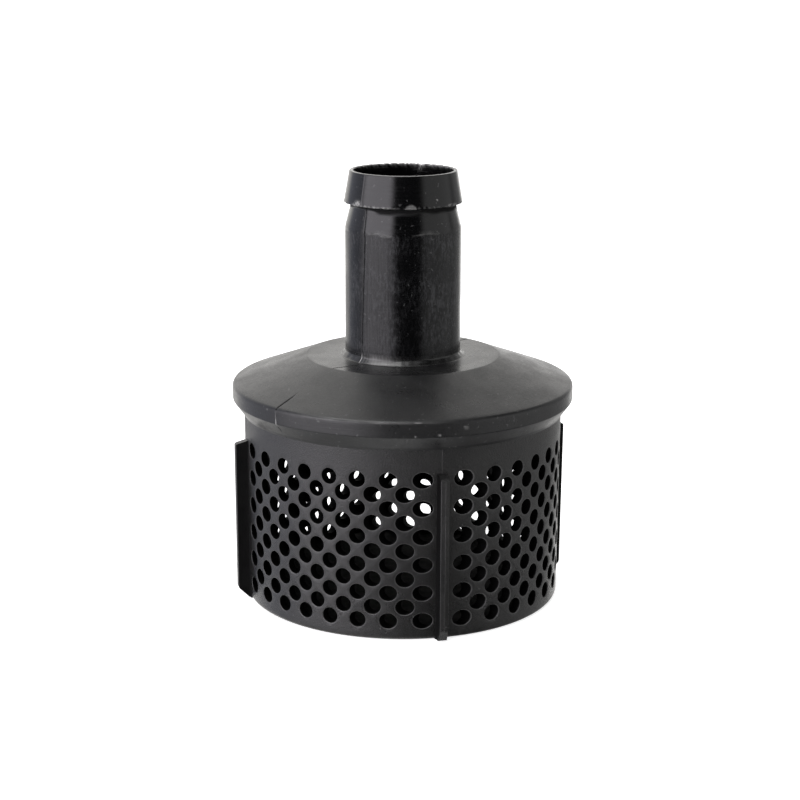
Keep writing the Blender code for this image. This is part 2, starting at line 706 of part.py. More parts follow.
def build_clapper_stack(hinge):
    """Seal and its retainer under the carrier, with the bolt, the lock washer and the nut that hold them."""
    hole = BOLT_RADIUS + PIECE_GAP
    seal_profile = washer_profile(hole, SEAL_RADIUS, SEAL_FOOT, SEAL_FOOT + SEAL_THICKNESS)
    hang_on(hinge, turned_ring("clapper_seal", seal_profile, DISC_STEPS, RUBBER))
    retainer_profile = washer_profile(hole, RETAINER_RADIUS, RETAINER_FOOT, RETAINER_TOP)
    hang_on(hinge, turned_ring("seal_retainer", retainer_profile, DISC_STEPS, STEEL))
    washer_top = LOCK_WASHER_FOOT + LOCK_WASHER_THICKNESS
    lock_profile = washer_profile(hole, LOCK_WASHER_RADIUS, LOCK_WASHER_FOOT, washer_top)
    hang_on(hinge, turned_ring("lock_washer", lock_profile, SMALL_STEPS, STEEL))

    head_mesh = hexagon_prism("clapper_bolt", BOLT_HEAD_TOP - BOLT_HEAD_HEIGHT, BOLT_HEAD_TOP)
    bolt = add_part("clapper_bolt", head_mesh, STEEL)
    shank_foot = BOLT_HEAD_TOP - BOLT_HEAD_HEIGHT / 2
    shank_placing = upright(0.0, 0.0, shank_foot, BOLT_TOP)
    shank = cylinder_mesh("bolt_shank", BOLT_RADIUS, BOLT_TOP - shank_foot, SMALL_STEPS, shank_placing)
    combine(bolt, add_cutter("bolt_shank", shank), "UNION")
    hang_on(hinge, bolt)

    nut = add_part("clapper_nut", hexagon_prism("clapper_nut", NUT_FOOT, NUT_FOOT + NUT_HEIGHT), STEEL)
    nut_top = NUT_FOOT + NUT_HEIGHT
    drill_upright(nut, "nut_hole", hole, 0.0, 0.0, NUT_FOOT - PIECE_GAP, nut_top + PIECE_GAP, SMALL_STEPS)
    hang_on(hinge, nut)


def main():
    build_cap()
    build_basket()
    build_seat_plate()
    build_seat_ring()
    build_gasket()
    build_screws()
    build_bracket()
    build_pin_and_clips()
    hinge = hinge_parent()
    build_carrier(hinge)
    build_clapper_stack(hinge)


main()
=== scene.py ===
"""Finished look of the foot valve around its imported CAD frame.

The cap and the strainer basket are rebuilt finely: rounded hole lips, ribs, parting lines and worn edges.
The inner pieces get rounded edges and threads. Azimuths are measured from -Y towards +X, as in the CAD.
"""

import math

import bpy
import numpy as np
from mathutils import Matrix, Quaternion, Vector


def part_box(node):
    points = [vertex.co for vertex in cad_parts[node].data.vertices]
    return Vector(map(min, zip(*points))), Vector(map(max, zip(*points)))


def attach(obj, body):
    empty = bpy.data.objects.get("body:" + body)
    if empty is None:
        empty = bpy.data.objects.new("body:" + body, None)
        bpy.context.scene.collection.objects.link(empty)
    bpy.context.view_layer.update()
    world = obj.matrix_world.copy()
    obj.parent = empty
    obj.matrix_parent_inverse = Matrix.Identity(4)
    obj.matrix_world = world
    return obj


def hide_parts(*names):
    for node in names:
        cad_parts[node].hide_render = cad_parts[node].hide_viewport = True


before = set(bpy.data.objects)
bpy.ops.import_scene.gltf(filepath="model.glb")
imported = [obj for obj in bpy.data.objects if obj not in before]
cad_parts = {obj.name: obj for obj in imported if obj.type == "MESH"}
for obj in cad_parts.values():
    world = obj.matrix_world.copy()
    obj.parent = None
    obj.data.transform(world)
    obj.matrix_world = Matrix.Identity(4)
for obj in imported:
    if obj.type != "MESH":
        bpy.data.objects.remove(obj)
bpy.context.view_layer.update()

MM = 0.001

# Sizes read from the frame
CAP_LOW, CAP_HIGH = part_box("hose_tail_cap")
BASKET_LOW, BASKET_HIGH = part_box("strainer_basket")
TAIL_TOP = CAP_HIGH.z / MM
SHOULDER_RADIUS = CAP_HIGH.x / MM
LIP_HEIGHT = CAP_LOW.z / MM
RIM_HEIGHT = BASKET_HIGH.z / MM
RIB_REACH = BASKET_HIGH.x / MM

# Camera, at the photograph's viewing angle
CAMERA_AZIMUTH = math.radians(-13.53)
CAMERA_DISTANCE = 596.47 * MM
CAMERA_HEIGHT = 215.90 * MM
CAMERA_PITCH = math.radians(-14.272)
CAMERA_ROLL = math.radians(0.20)
CAMERA_LENS = 83.83
CAMERA_SHIFT_X = -0.0033

# Panels of the studio: left and right edge and low and high edge in degrees as seen from the object, with
# azimuth 0 towards the camera, then how soft the edges are across and up, the brightness and the tint
NEUTRAL = (1.0, 1.0, 1.0)
COOL = (1.0, 0.965, 1.03)
COLD = (0.93, 0.96, 1.12)
WARM = (1.015, 1.0, 0.975)
STUDIO_FILL = 0.02
STUDIO_PANELS = [
    (-86.5, -22.0, -17.5, 38.0, 7.0, 9.0, 2.72, COOL),
    (-190.0, -22.0, -75.0, -34.0, 8.0, 6.0, 0.60, NEUTRAL),
    (40.0, 110.0, -21.0, 32.0, 7.0, 9.0, 0.62, NEUTRAL),
    (-45.0, 26.0, 37.0, 58.0, 7.0, 6.0, 1.0, NEUTRAL),
    (-140.0, -2.0, 57.0, 82.0, 10.0, 6.0, 4.0, NEUTRAL),
    (-400.0, 400.0, 62.0, 100.0, 10.0, 6.0, 0.5, NEUTRAL),
    (-215.0, -136.0, -48.0, 60.0, 6.0, 8.0, 1.20, WARM),
    (150.0, 222.0, -48.0, 56.0, 8.0, 9.0, 1.06, WARM),
    (-136.0, -90.0, -30.0, 50.0, 6.0, 10.0, 0.60, COLD),
    (114.0, 150.0, -75.0, 36.0, 8.0, 10.0, 0.40, NEUTRAL),
    (-20.0, 12.0, -75.0, -34.0, 5.0, 5.0, 0.3, NEUTRAL),
    (155.0, 205.0, -22.0, 3.0, 6.0, 6.0, 0.65, NEUTRAL),
    (-400.0, 400.0, -100.0, -75.0, 10.0, 6.0, 1.30, NEUTRAL),
]
FLOOR_HALF = 9.0
FLOOR_DROP = 0.0002

# Sizes of the cap, in mm
BORE_RADIUS = 16.1
MOUTH_RADIUS = 17.4
BARB_RADIUS = 19.1
BARB_FOOT = 129.7
TAIL_RADIUS = 18.8
PLATEAU_HEIGHT = 80.1
PLATEAU_RADIUS = 31.6
SHOULDER_HEIGHT = 71.3
CAP_STEPS = 256

# Parting line of the cap's mould
PARTING_AZIMUTH = math.radians(-58.2)

# Hole fields of the basket, in mm: one between each pair of ribs
FIELDS = 4
FIELD_TURN = math.radians(0.6)
COLUMN_STEP = 4.54
ROW_STEP = 4.56
FIRST_ROW = 6.3
LAST_COLUMN = 7
ROWS = 11
HOLE_RADIUS = 2.52
INNER_HOLE_RADIUS = 2.30
HOLE_LIP = 0.30
LIP_STEPS = 3
SIDE_STEPS = 8
WALL_FOOT_RADIUS = 51.85
WALL_TOP_RADIUS = 52.15
INNER_RADIUS = 49.2
RIM_INNER_RADIUS = 49.6
FLOOR_TOP = 3.0
FLOOR_FOOT = 1.0

# Soft bump that darkens the wall near its foot, in metres
FOOT_SHADE_HEIGHT = 0.048
FOOT_SHADE_DEPTH = 0.0011


def outward(azimuth):
    return np.array([math.sin(azimuth), -math.cos(azimuth), 0.0])


def sideways(azimuth):
    return np.array([math.cos(azimuth), math.sin(azimuth), 0.0])


def point_at(azimuth, reach, across, height):
    """Point at reach from the axis and across to the side, at its height."""
    place = outward(azimuth) * reach + sideways(azimuth) * across
    place[2] = height
    return place


# ---------------------------------------------------------------- node graphs


class Graph:
    """Short way to write a node tree: every call makes a node and returns its first output."""

    def __init__(self, tree):
        self.tree = tree
        self.tree.nodes.clear()

    def node(self, kind, settings=None, **inputs):
        made = self.tree.nodes.new(kind)
        for key, value in (settings or {}).items():
            setattr(made, key, value)
        for key, value in inputs.items():
            name = key.replace("_", " ")
            place = int(key[1:]) if key[0] == "i" and key[1:].isdigit() else name
            socket = made.inputs[place]
            if isinstance(value, bpy.types.NodeSocket):
                self.tree.links.new(value, socket)
            else:
                socket.default_value = value
        return made

    def math(self, operation, a, b=0.0, clamp=False):
        settings = {"operation": operation, "use_clamp": clamp}
        return self.node("ShaderNodeMath", settings, i0=a, i1=b).outputs[0]

    def times(self, a, b):
        return self.math("MULTIPLY", a, b)

    def ramp(self, value, low, high, out_low=0.0, out_high=1.0):
        """Smooth step of value between low and high."""
        settings = {"interpolation_type": "SMOOTHSTEP"}
        made = self.node("ShaderNodeMapRange", settings, Value=value)
        made.inputs["From Min"].default_value = low
        made.inputs["From Max"].default_value = high
        made.inputs["To Min"].default_value = out_low
        made.inputs["To Max"].default_value = out_high
        return made.outputs["Result"]

    def mix_colour(self, factor, a, b):
        settings = {"data_type": "RGBA"}
        made = self.node("ShaderNodeMix", settings, i0=factor, i6=a, i7=b)
        return made.outputs[2]

    def mix_value(self, factor, a, b):
        made = self.node("ShaderNodeMix", {"data_type": "FLOAT"}, i0=factor, i2=a, i3=b)
        return made.outputs[0]

    def object_space(self, scale=(1.0, 1.0, 1.0)):
        coordinates = self.node("ShaderNodeTexCoord").outputs["Object"]
        return self.node("ShaderNodeMapping", None, Vector=coordinates, Scale=scale).outputs[0]

    def noise(self, vector, scale, detail=3.0, roughness=0.5):
        """Noise whose scale is the number of features in a metre."""
        made = self.node(
            "ShaderNodeTexNoise", None, Vector=vector, Scale=scale, Detail=detail, Roughness=roughness
        )
        return made.outputs[0]

    def attribute(self, name):
        return self.node("ShaderNodeAttribute", {"attribute_name": name}).outputs["Fac"]

    def bump(self, height, strength, distance, normal=None):
        """Bump of a height from 0 to 1 that stands for the distance, in metres."""
        made = self.node("ShaderNodeBump", None, Height=height, Strength=strength, Distance=distance)
        if normal is not None:
            self.tree.links.new(normal, made.inputs["Normal"])
        return made.outputs[0]


def grey(value, tint=(1.0, 1.0, 1.0)):
    return (value * tint[0], value * tint[1], value * tint[2], 1.0)


CAP_BLACK = grey(0.0018, (0.95, 0.97, 1.1))


def surface(name):
    material = bpy.data.materials.new(name)
    material.use_nodes = True
    return material, Graph(material.node_tree)


def finish_surface(graph, **inputs):
    shader = graph.node("ShaderNodeBsdfPrincipled", None, **inputs)
    output = graph.node("ShaderNodeOutputMaterial")
    graph.tree.links.new(shader.outputs[0], output.inputs["Surface"])


def cap_plastic():
    """Black polyethylene: polished on the barb, with faint lines, and satin on the cone, with fine rings."""
    material, graph = surface("cap_polyethylene_fine")
    space = graph.object_space()
    satin = graph.attribute("satin")
    lines = turned_lines(graph)
    patches = graph.noise(space, 95.0, 3.0, 0.55)
    leather = graph.noise(space, 1250.0, 4.0, 0.65)
    rings = turned_rings(graph)
    base = graph.mix_colour(satin, CAP_BLACK, grey(0.0110, (1.0, 1.0, 1.02)))
    base = dusty(graph, base)
    barb_rough = graph.ramp(lines, 0.3, 0.7, 0.10, 0.22)
    cone_rough = graph.ramp(graph.mix_value(0.5, patches, leather), 0.35, 0.65, 0.27, 0.42)
    rough = graph.mix_value(satin, barb_rough, cone_rough)
    relief = graph.mix_value(satin, lines, graph.mix_value(0.4, rings, leather))
    normal = graph.bump(relief, 0.60, 0.00011)
    normal = graph.bump(patches, 0.25, 0.00020, normal)
    finish_with_wear_and_painted_light(graph, base, rough, normal)
    return material


def shaft_plastic():
    """The same plastic where hoses have scraped it along its length: streaky, and duller in patches."""
    material, graph = surface("cap_polyethylene_shaft")
    space = graph.object_space()
    scraped = graph.attribute("scraped")
    lines = turned_lines(graph)
    streaks = graph.noise(graph.object_space((1.0, 1.0, 0.03)), 1900.0, 5.0, 0.68)
    scuffs = graph.noise(graph.object_space((1.0, 1.0, 0.4)), 1300.0, 4.0, 0.7)
    patches = graph.noise(space, 75.0, 3.0, 0.55)
    dull = graph.times(graph.ramp(scuffs, 0.42, 0.64), graph.ramp(patches, 0.35, 0.65))
    dull = graph.times(dull, scraped)
    base = graph.mix_colour(dull, CAP_BLACK, grey(0.0300, (0.98, 0.98, 1.05)))
    base = dusty(graph, base)
    scraped_rough = graph.ramp(graph.mix_value(0.35, streaks, patches), 0.36, 0.64, 0.17, 0.36)
    rough = graph.mix_value(scraped, graph.ramp(lines, 0.3, 0.7, 0.12, 0.24), scraped_rough)
    rough = graph.mix_value(graph.times(dull, 0.45), rough, 0.46)
    relief = graph.mix_value(scraped, lines, graph.mix_value(0.5, lines, streaks))
    normal = graph.bump(relief, 0.60, 0.00006)
    normal = graph.bump(patches, 0.25, 0.00020, normal)
    finish_with_wear_and_painted_light(graph, base, rough, normal, Specular_IOR_Level=0.345)
    return material


def turned_rings(graph):
    """Faint tool rings round the axis, broken up so that none goes all the way round."""
    coordinates = graph.node("ShaderNodeTexCoord").outputs["Object"]
    settings = {"operation": "MULTIPLY"}
    flat = graph.node("ShaderNodeVectorMath", settings, i0=coordinates, i1=(1.0, 1.0, 0.0)).outputs[0]
    radius = graph.node("ShaderNodeVectorMath", {"operation": "LENGTH"}, i0=flat).outputs["Value"]
    wander = graph.noise(coordinates, 60.0, 2.0)
    height = graph.node("ShaderNodeSeparateXYZ", None, Vector=coordinates).outputs["Z"]
    fine = graph.math("ADD", graph.times(radius, 3100.0), graph.times(wander, 5.0))
    fine = graph.math("ADD", fine, graph.times(height, -2400.0))
    return graph.noise(graph.node("ShaderNodeCombineXYZ", None, X=fine).outputs[0], 1.0, 3.0, 0.6)


def turned_lines(graph):
    """Fine lines across the tail, level all the way round."""
    return graph.noise(graph.object_space((0.02, 0.02, 1.0)), 1700.0, 3.0, 0.65)


def dusty(graph, base):
    """The base colour with a few specks of pale dust."""
    specks = graph.noise(graph.object_space(), 900.0, 1.0, 0.4)
    dust = graph.times(graph.ramp(specks, 0.70, 0.77), 0.07)
    return graph.mix_colour(dust, base, grey(0.42))


def finish_with_wear_and_painted_light(graph, base, rough, normal, **inputs):
    """Plastic that is whitened and dull on worn spots and on painted highlights,
    and near black with painted shade in its grooves and under the barb.
    """
    wear_and_highlight = graph.attribute("wear_and_highlight")
    crevice_shade = graph.attribute("crevice_shade")
    # Lighter on worn spots and on painted highlights
    base = graph.mix_colour(wear_and_highlight, base, grey(0.46, (1.0, 0.99, 0.97)))
    # Near black as painted shade in the grooves, in the gouge and under the barb
    base = graph.mix_colour(crevice_shade, base, grey(0.0008))
    rough = graph.mix_value(wear_and_highlight, rough, 0.62)
    rough = graph.mix_value(crevice_shade, rough, 0.95)
    finish_surface(graph, Base_Color=base, Roughness=rough, IOR=1.51, Normal=normal, **inputs)


def basket_plastic():
    """Satin black polyethylene with a fine grain, a little dust and painted highlights on the hole lips.
    Its shading leans in near the foot.
    """
    material, graph = surface("basket_polyethylene_fine")
    space = graph.object_space()
    wear_and_highlight = graph.attribute("wear_and_highlight")
    patches = graph.noise(space, 120.0, 3.0, 0.55)
    grain = graph.noise(space, 2300.0, 3.0, 0.6)
    specks = graph.noise(space, 1100.0, 1.0, 0.4)
    dust = graph.ramp(specks, 0.74, 0.79)
    base = graph.mix_colour(graph.ramp(patches, 0.3, 0.7), grey(0.0070), grey(0.0100, (1.02, 1.0, 0.97)))
    base = graph.mix_colour(graph.times(dust, 0.10), base, grey(0.40))
    # Lighter on the rib tips and the hole lips: mould flash and burr whitening, with painted highlights on
    # the lips
    base = graph.mix_colour(wear_and_highlight, base, grey(0.16))
    height = graph.node("ShaderNodeSeparateXYZ", None, Vector=space).outputs["Z"]
    rough = graph.mix_value(graph.ramp(height, -0.005, 0.060), 0.24, 0.43)
    rough = graph.math("ADD", rough, graph.ramp(patches, 0.25, 0.75, -0.03, 0.03))
    normal = graph.bump(grain, 1.0, 0.00018)
    normal = graph.bump(patches, 0.25, 0.00020, normal)
    below = graph.math("SUBTRACT", FOOT_SHADE_HEIGHT, height)
    low = graph.math("MULTIPLY", below, 1.0 / FOOT_SHADE_HEIGHT, clamp=True)
    normal = graph.bump(graph.times(graph.times(low, low), -1.0), 1.0, FOOT_SHADE_DEPTH, normal)
    finish_surface(graph, Base_Color=base, Roughness=rough, IOR=1.67, Normal=normal)
    return material


def dull_shaded_plastic(name, low, high, ior):
    """Rougher copy of the basket's plastic, darker and with weaker reflections as painted shade: inside the
    strainer, in its holes and up the ribs.
    """
    material, graph = surface(name)
    patches = graph.noise(graph.object_space(), 300.0)
    base = graph.mix_colour(graph.ramp(patches, 0.3, 0.7), grey(low), grey(high))
    rough = graph.ramp(patches, 0.25, 0.75, 0.60, 0.75)
    finish_surface(graph, Base_Color=base, Roughness=rough, IOR=ior)
    return material


def plate_plastic():
    material, graph = surface("seat_plate_plastic_fine")
    space = graph.object_space()
    grain = graph.noise(space, 2600.0, 3.0, 0.6)
    patches = graph.noise(space, 140.0)
    base = graph.mix_colour(graph.ramp(patches, 0.3, 0.7), grey(0.026), grey(0.036))
    rough = graph.ramp(patches, 0.2, 0.8, 0.42, 0.54)
    finish_surface(graph, Base_Color=base, Roughness=rough, Normal=graph.bump(grain, 0.3, 0.00004))
    return material


def rubber():
    material, graph = surface("nitrile_rubber_fine")
    space = graph.object_space()
    grain = graph.noise(space, 3600.0, 3.0, 0.6)
    patches = graph.noise(space, 160.0)
    base = graph.mix_colour(graph.ramp(patches, 0.3, 0.7), grey(0.012), grey(0.020))
    rough = graph.ramp(grain, 0.3, 0.7, 0.62, 0.78)
    finish_surface(graph, Base_Color=base, Roughness=rough, Normal=graph.bump(grain, 0.4, 0.00005))
    return material


def metal(name, colour, roughness):
    """Turned metal with fine tool marks and slight staining."""
    material, graph = surface(name)
    space = graph.object_space()
    marks = graph.noise(graph.object_space((1.0, 1.0, 9.0)), 1400.0, 3.0, 0.6)
    stains = graph.noise(space, 190.0, 4.0, 0.6)
    dark = tuple(0.72 * channel for channel in colour)
    base = graph.mix_colour(graph.ramp(stains, 0.35, 0.7), (*colour, 1.0), (*dark, 1.0))
    rough = graph.ramp(marks, 0.3, 0.7, roughness - 0.06, roughness + 0.10)
    finish_surface(
        graph, Base_Color=base, Metallic=1.0, Roughness=rough, Normal=graph.bump(marks, 0.2, 0.00003)
    )
    return material


# ---------------------------------------------------------------- meshes


def new_object(name, data):
    obj = bpy.data.objects.new(name, data)
    bpy.context.scene.collection.objects.link(obj)
    return obj


def add_piece(name, vertices, faces, material, body, node, sharp=32.0, attributes=None):
    """A mesh in mm becomes a piece that stands for a CAD node and rides on its body."""
    mesh = bpy.data.meshes.new(name)
    mesh.from_pydata((np.asarray(vertices, float) * MM).tolist(), [], faces)
    for key, values in (attributes or {}).items():
        layer = mesh.attributes.new(key, "FLOAT", "POINT")
        layer.data.foreach_set("value", np.asarray(values, np.float32))
    mesh.materials.append(material)
    mesh.shade_smooth()
    mesh.set_sharp_from_angle(angle=math.radians(sharp))
    mesh.validate()
    obj = new_object(name, mesh)
    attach(obj, body)
    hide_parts(node)
    return obj


def rounded_profile(corners, steps=4):
    """Closed profile of (radius, height, rounding) corners, each rounding replaced by an arc."""
    points = []
    count = len(corners)
    for k, (r, z, rounding) in enumerate(corners):
        here = np.array([r, z])
        if rounding <= 0.0:
            points.append(here)
            continue
        back = np.array(corners[k - 1][:2]) - here
        ahead = np.array(corners[(k + 1) % count][:2]) - here
        back_length, ahead_length = np.linalg.norm(back), np.linalg.norm(ahead)
        back, ahead = back / back_length, ahead / ahead_length
        half = 0.5 * math.acos(float(np.clip(back @ ahead, -1.0, 1.0)))
        reach = min(rounding / math.tan(half), 0.49 * back_length, 0.49 * ahead_length)
        start, end = here + back * reach, here + ahead * reach
        for step in range(steps + 1):
            t = step / steps
            points.append((1 - t) ** 2 * start + 2 * t * (1 - t) * here + t * t * end)
    return points


def ring_quads(rings, per_ring, closed=False):
    """Quads between neighbouring rings of vertices. Vertex k of ring j is j * per_ring + k."""
    faces = []
    for j in range(rings if closed else rings - 1):
        low, high = j * per_ring, (j + 1) % rings * per_ring
        for k in range(per_ring):
            after = (k + 1) % per_ring
            faces.append((low + k, low + after, high + after, high + k))
    return faces


def turned_over(faces):
    return [(a, d, c, b) for a, b, c, d in faces]


def end_caps(rings, per_ring):
    """Flat faces that close the first and the last ring."""
    return [tuple(reversed(range(per_ring))), tuple((rings - 1) * per_ring + k for k in range(per_ring))]


def circle(radius, height, steps):
    angles = [math.tau * k / steps for k in range(steps)]
    return [(radius * math.cos(angle), radius * math.sin(angle), height) for angle in angles]


def nearest_turn(azimuths, centre):
    """Signed difference to centre, in radians from -pi to pi."""
    return (azimuths - centre + math.pi) % math.tau - math.pi


def unit(values):
    return np.clip(values, 0.0, 1.0)


def share(value, start, length):
    """0 before start, rising evenly to 1 over length. A negative length turns it round."""
    return unit((value - start) / length)


def hump(distance, half_width):
    """1 at distance 0, falling smoothly to 0 at half_width."""
    t = unit(1.0 - np.abs(distance) / half_width)
    return t * t * (3.0 - 2.0 * t)


def cap_azimuths():
    """Even steps, with finer ones where the parting line, the marks and the worn flange need them."""
    degrees = list(np.arange(CAP_STEPS) * 360.0 / CAP_STEPS)
    degrees += list(np.arange(-63.5, -51.5, 0.22)) + list(np.arange(-12.0, 10.0, 0.4))
    degrees += list(np.arange(-0.2, 1.0, 0.08)) + list(np.arange(-41.6, -40.0, 0.2))
    rear = math.degrees(PARTING_AZIMUTH) + 180.0
    close = (0.0, 0.1, 0.2, 0.35, 0.6, 1.0, 1.6)
    degrees += [rear + side * step for step in close for side in (-1, 1)]
    return np.radians(sorted(set(np.round(np.mod(degrees, 360.0), 4))))


def cap_profile():
    """Closed profile of the cap, in short steps outside and long ones inside."""
    outside = [
        (BORE_RADIUS, TAIL_TOP, 0.35),
        (MOUTH_RADIUS, TAIL_TOP, 0.35),
        (18.42, 134.5, 0.0),
        (BARB_RADIUS, 130.6, 0.22),
        (BARB_RADIUS, 130.25, 0.12),
        (16.9, BARB_FOOT, 1.7),
        (TAIL_RADIUS, 122.2, 2.2),
        (TAIL_RADIUS, 119.0, 0.0),
        (TAIL_RADIUS, 81.6, 1.0),
        (20.1, PLATEAU_HEIGHT, 0.9),
        (PLATEAU_RADIUS, PLATEAU_HEIGHT, 1.2),
        (SHOULDER_RADIUS, SHOULDER_HEIGHT, 1.5),
        (SHOULDER_RADIUS, 66.4, 0.7),
        (52.9, 62.5, 2.0),
        (52.45, LIP_HEIGHT, 0.0),
    ]
    inside = [
        (52.40, 62.5, 0.0),
        (53.6, 63.65, 0.0),
        (53.6, 68.9, 0.4),
        (38.5, 68.9, 0.4),
        (38.5, 73.77, 0.8),
        (28.8, 77.3, 0.8),
        (19.1, 77.3, 0.5),
        (BORE_RADIUS, 80.3, 0.5),
        (BORE_RADIUS, TAIL_TOP - 4.0, 0.0),
    ]
    points = rounded_profile(outside + inside, 5)
    turned_in = [tuple(point) for point in points].index(inside[0][:2])
    result = []
    for k, here in enumerate(points):
        ahead = points[(k + 1) % len(points)]
        middle = (here + ahead) / 2
        inner = k >= turned_in
        on_plateau = abs(middle[1] - PLATEAU_HEIGHT) < 0.01 and middle[0] > 19.0
        low_on_barb = 130.0 < middle[1] < 134.5 and middle[0] > 18.4
        near_mouth = inner and middle[1] > TAIL_TOP - 4.5
        on_shaft = 82.5 < middle[1] < 119.0 and not inner
        on_flange = not inner and 66.0 < middle[1] < 71.5 and middle[0] > 54.0
        scraped_edge = 119.0 < middle[1] < 123.5 and not inner
        under_barb = 128.0 < middle[1] < 130.3 and not inner
        if on_shaft:
            longest = 1.6
        elif on_plateau or near_mouth:
            longest = 0.6
        elif low_on_barb or on_flange or scraped_edge:
            longest = 0.33
        elif under_barb:
            longest = 0.25
        else:
            longest = 8.0 if inner else 1.2
        pieces = max(1, math.ceil(np.linalg.norm(ahead - here) / longest))
        result += [here + (ahead - here) * step / pieces for step in range(pieces)]
    return np.array(result)


# Worn spots of the cap: azimuth in degrees, height, half width and half height in mm, strength
CAP_SPOTS = [
    (6.8, 68.9, 1.0, 0.8, 0.08),
    (6.2, 69.3, 0.4, 0.35, 0.10),
    (-1.9, 67.1, 0.6, 0.4, 0.20),
    (-9.5, 66.8, 0.4, 0.3, 0.26),
    (-8.7, 71.1, 1.6, 0.22, 0.22),
    (-40.9, 70.0, 0.6, 0.35, 0.10),
    (-62.5, 70.4, 0.5, 0.35, 0.12),
    (20.7, 132.8, 0.35, 0.35, 0.40),
    (38.7, 131.0, 0.3, 0.3, 0.25),
    (36.5, 130.7, 1.0, 0.5, 0.18),
    (45.0, 130.6, 1.4, 0.6, 0.14),
    (-59.0, 126.9, 0.25, 0.4, 0.30),
    (-30.2, 121.6, 2.6, 0.7, 0.06),
]


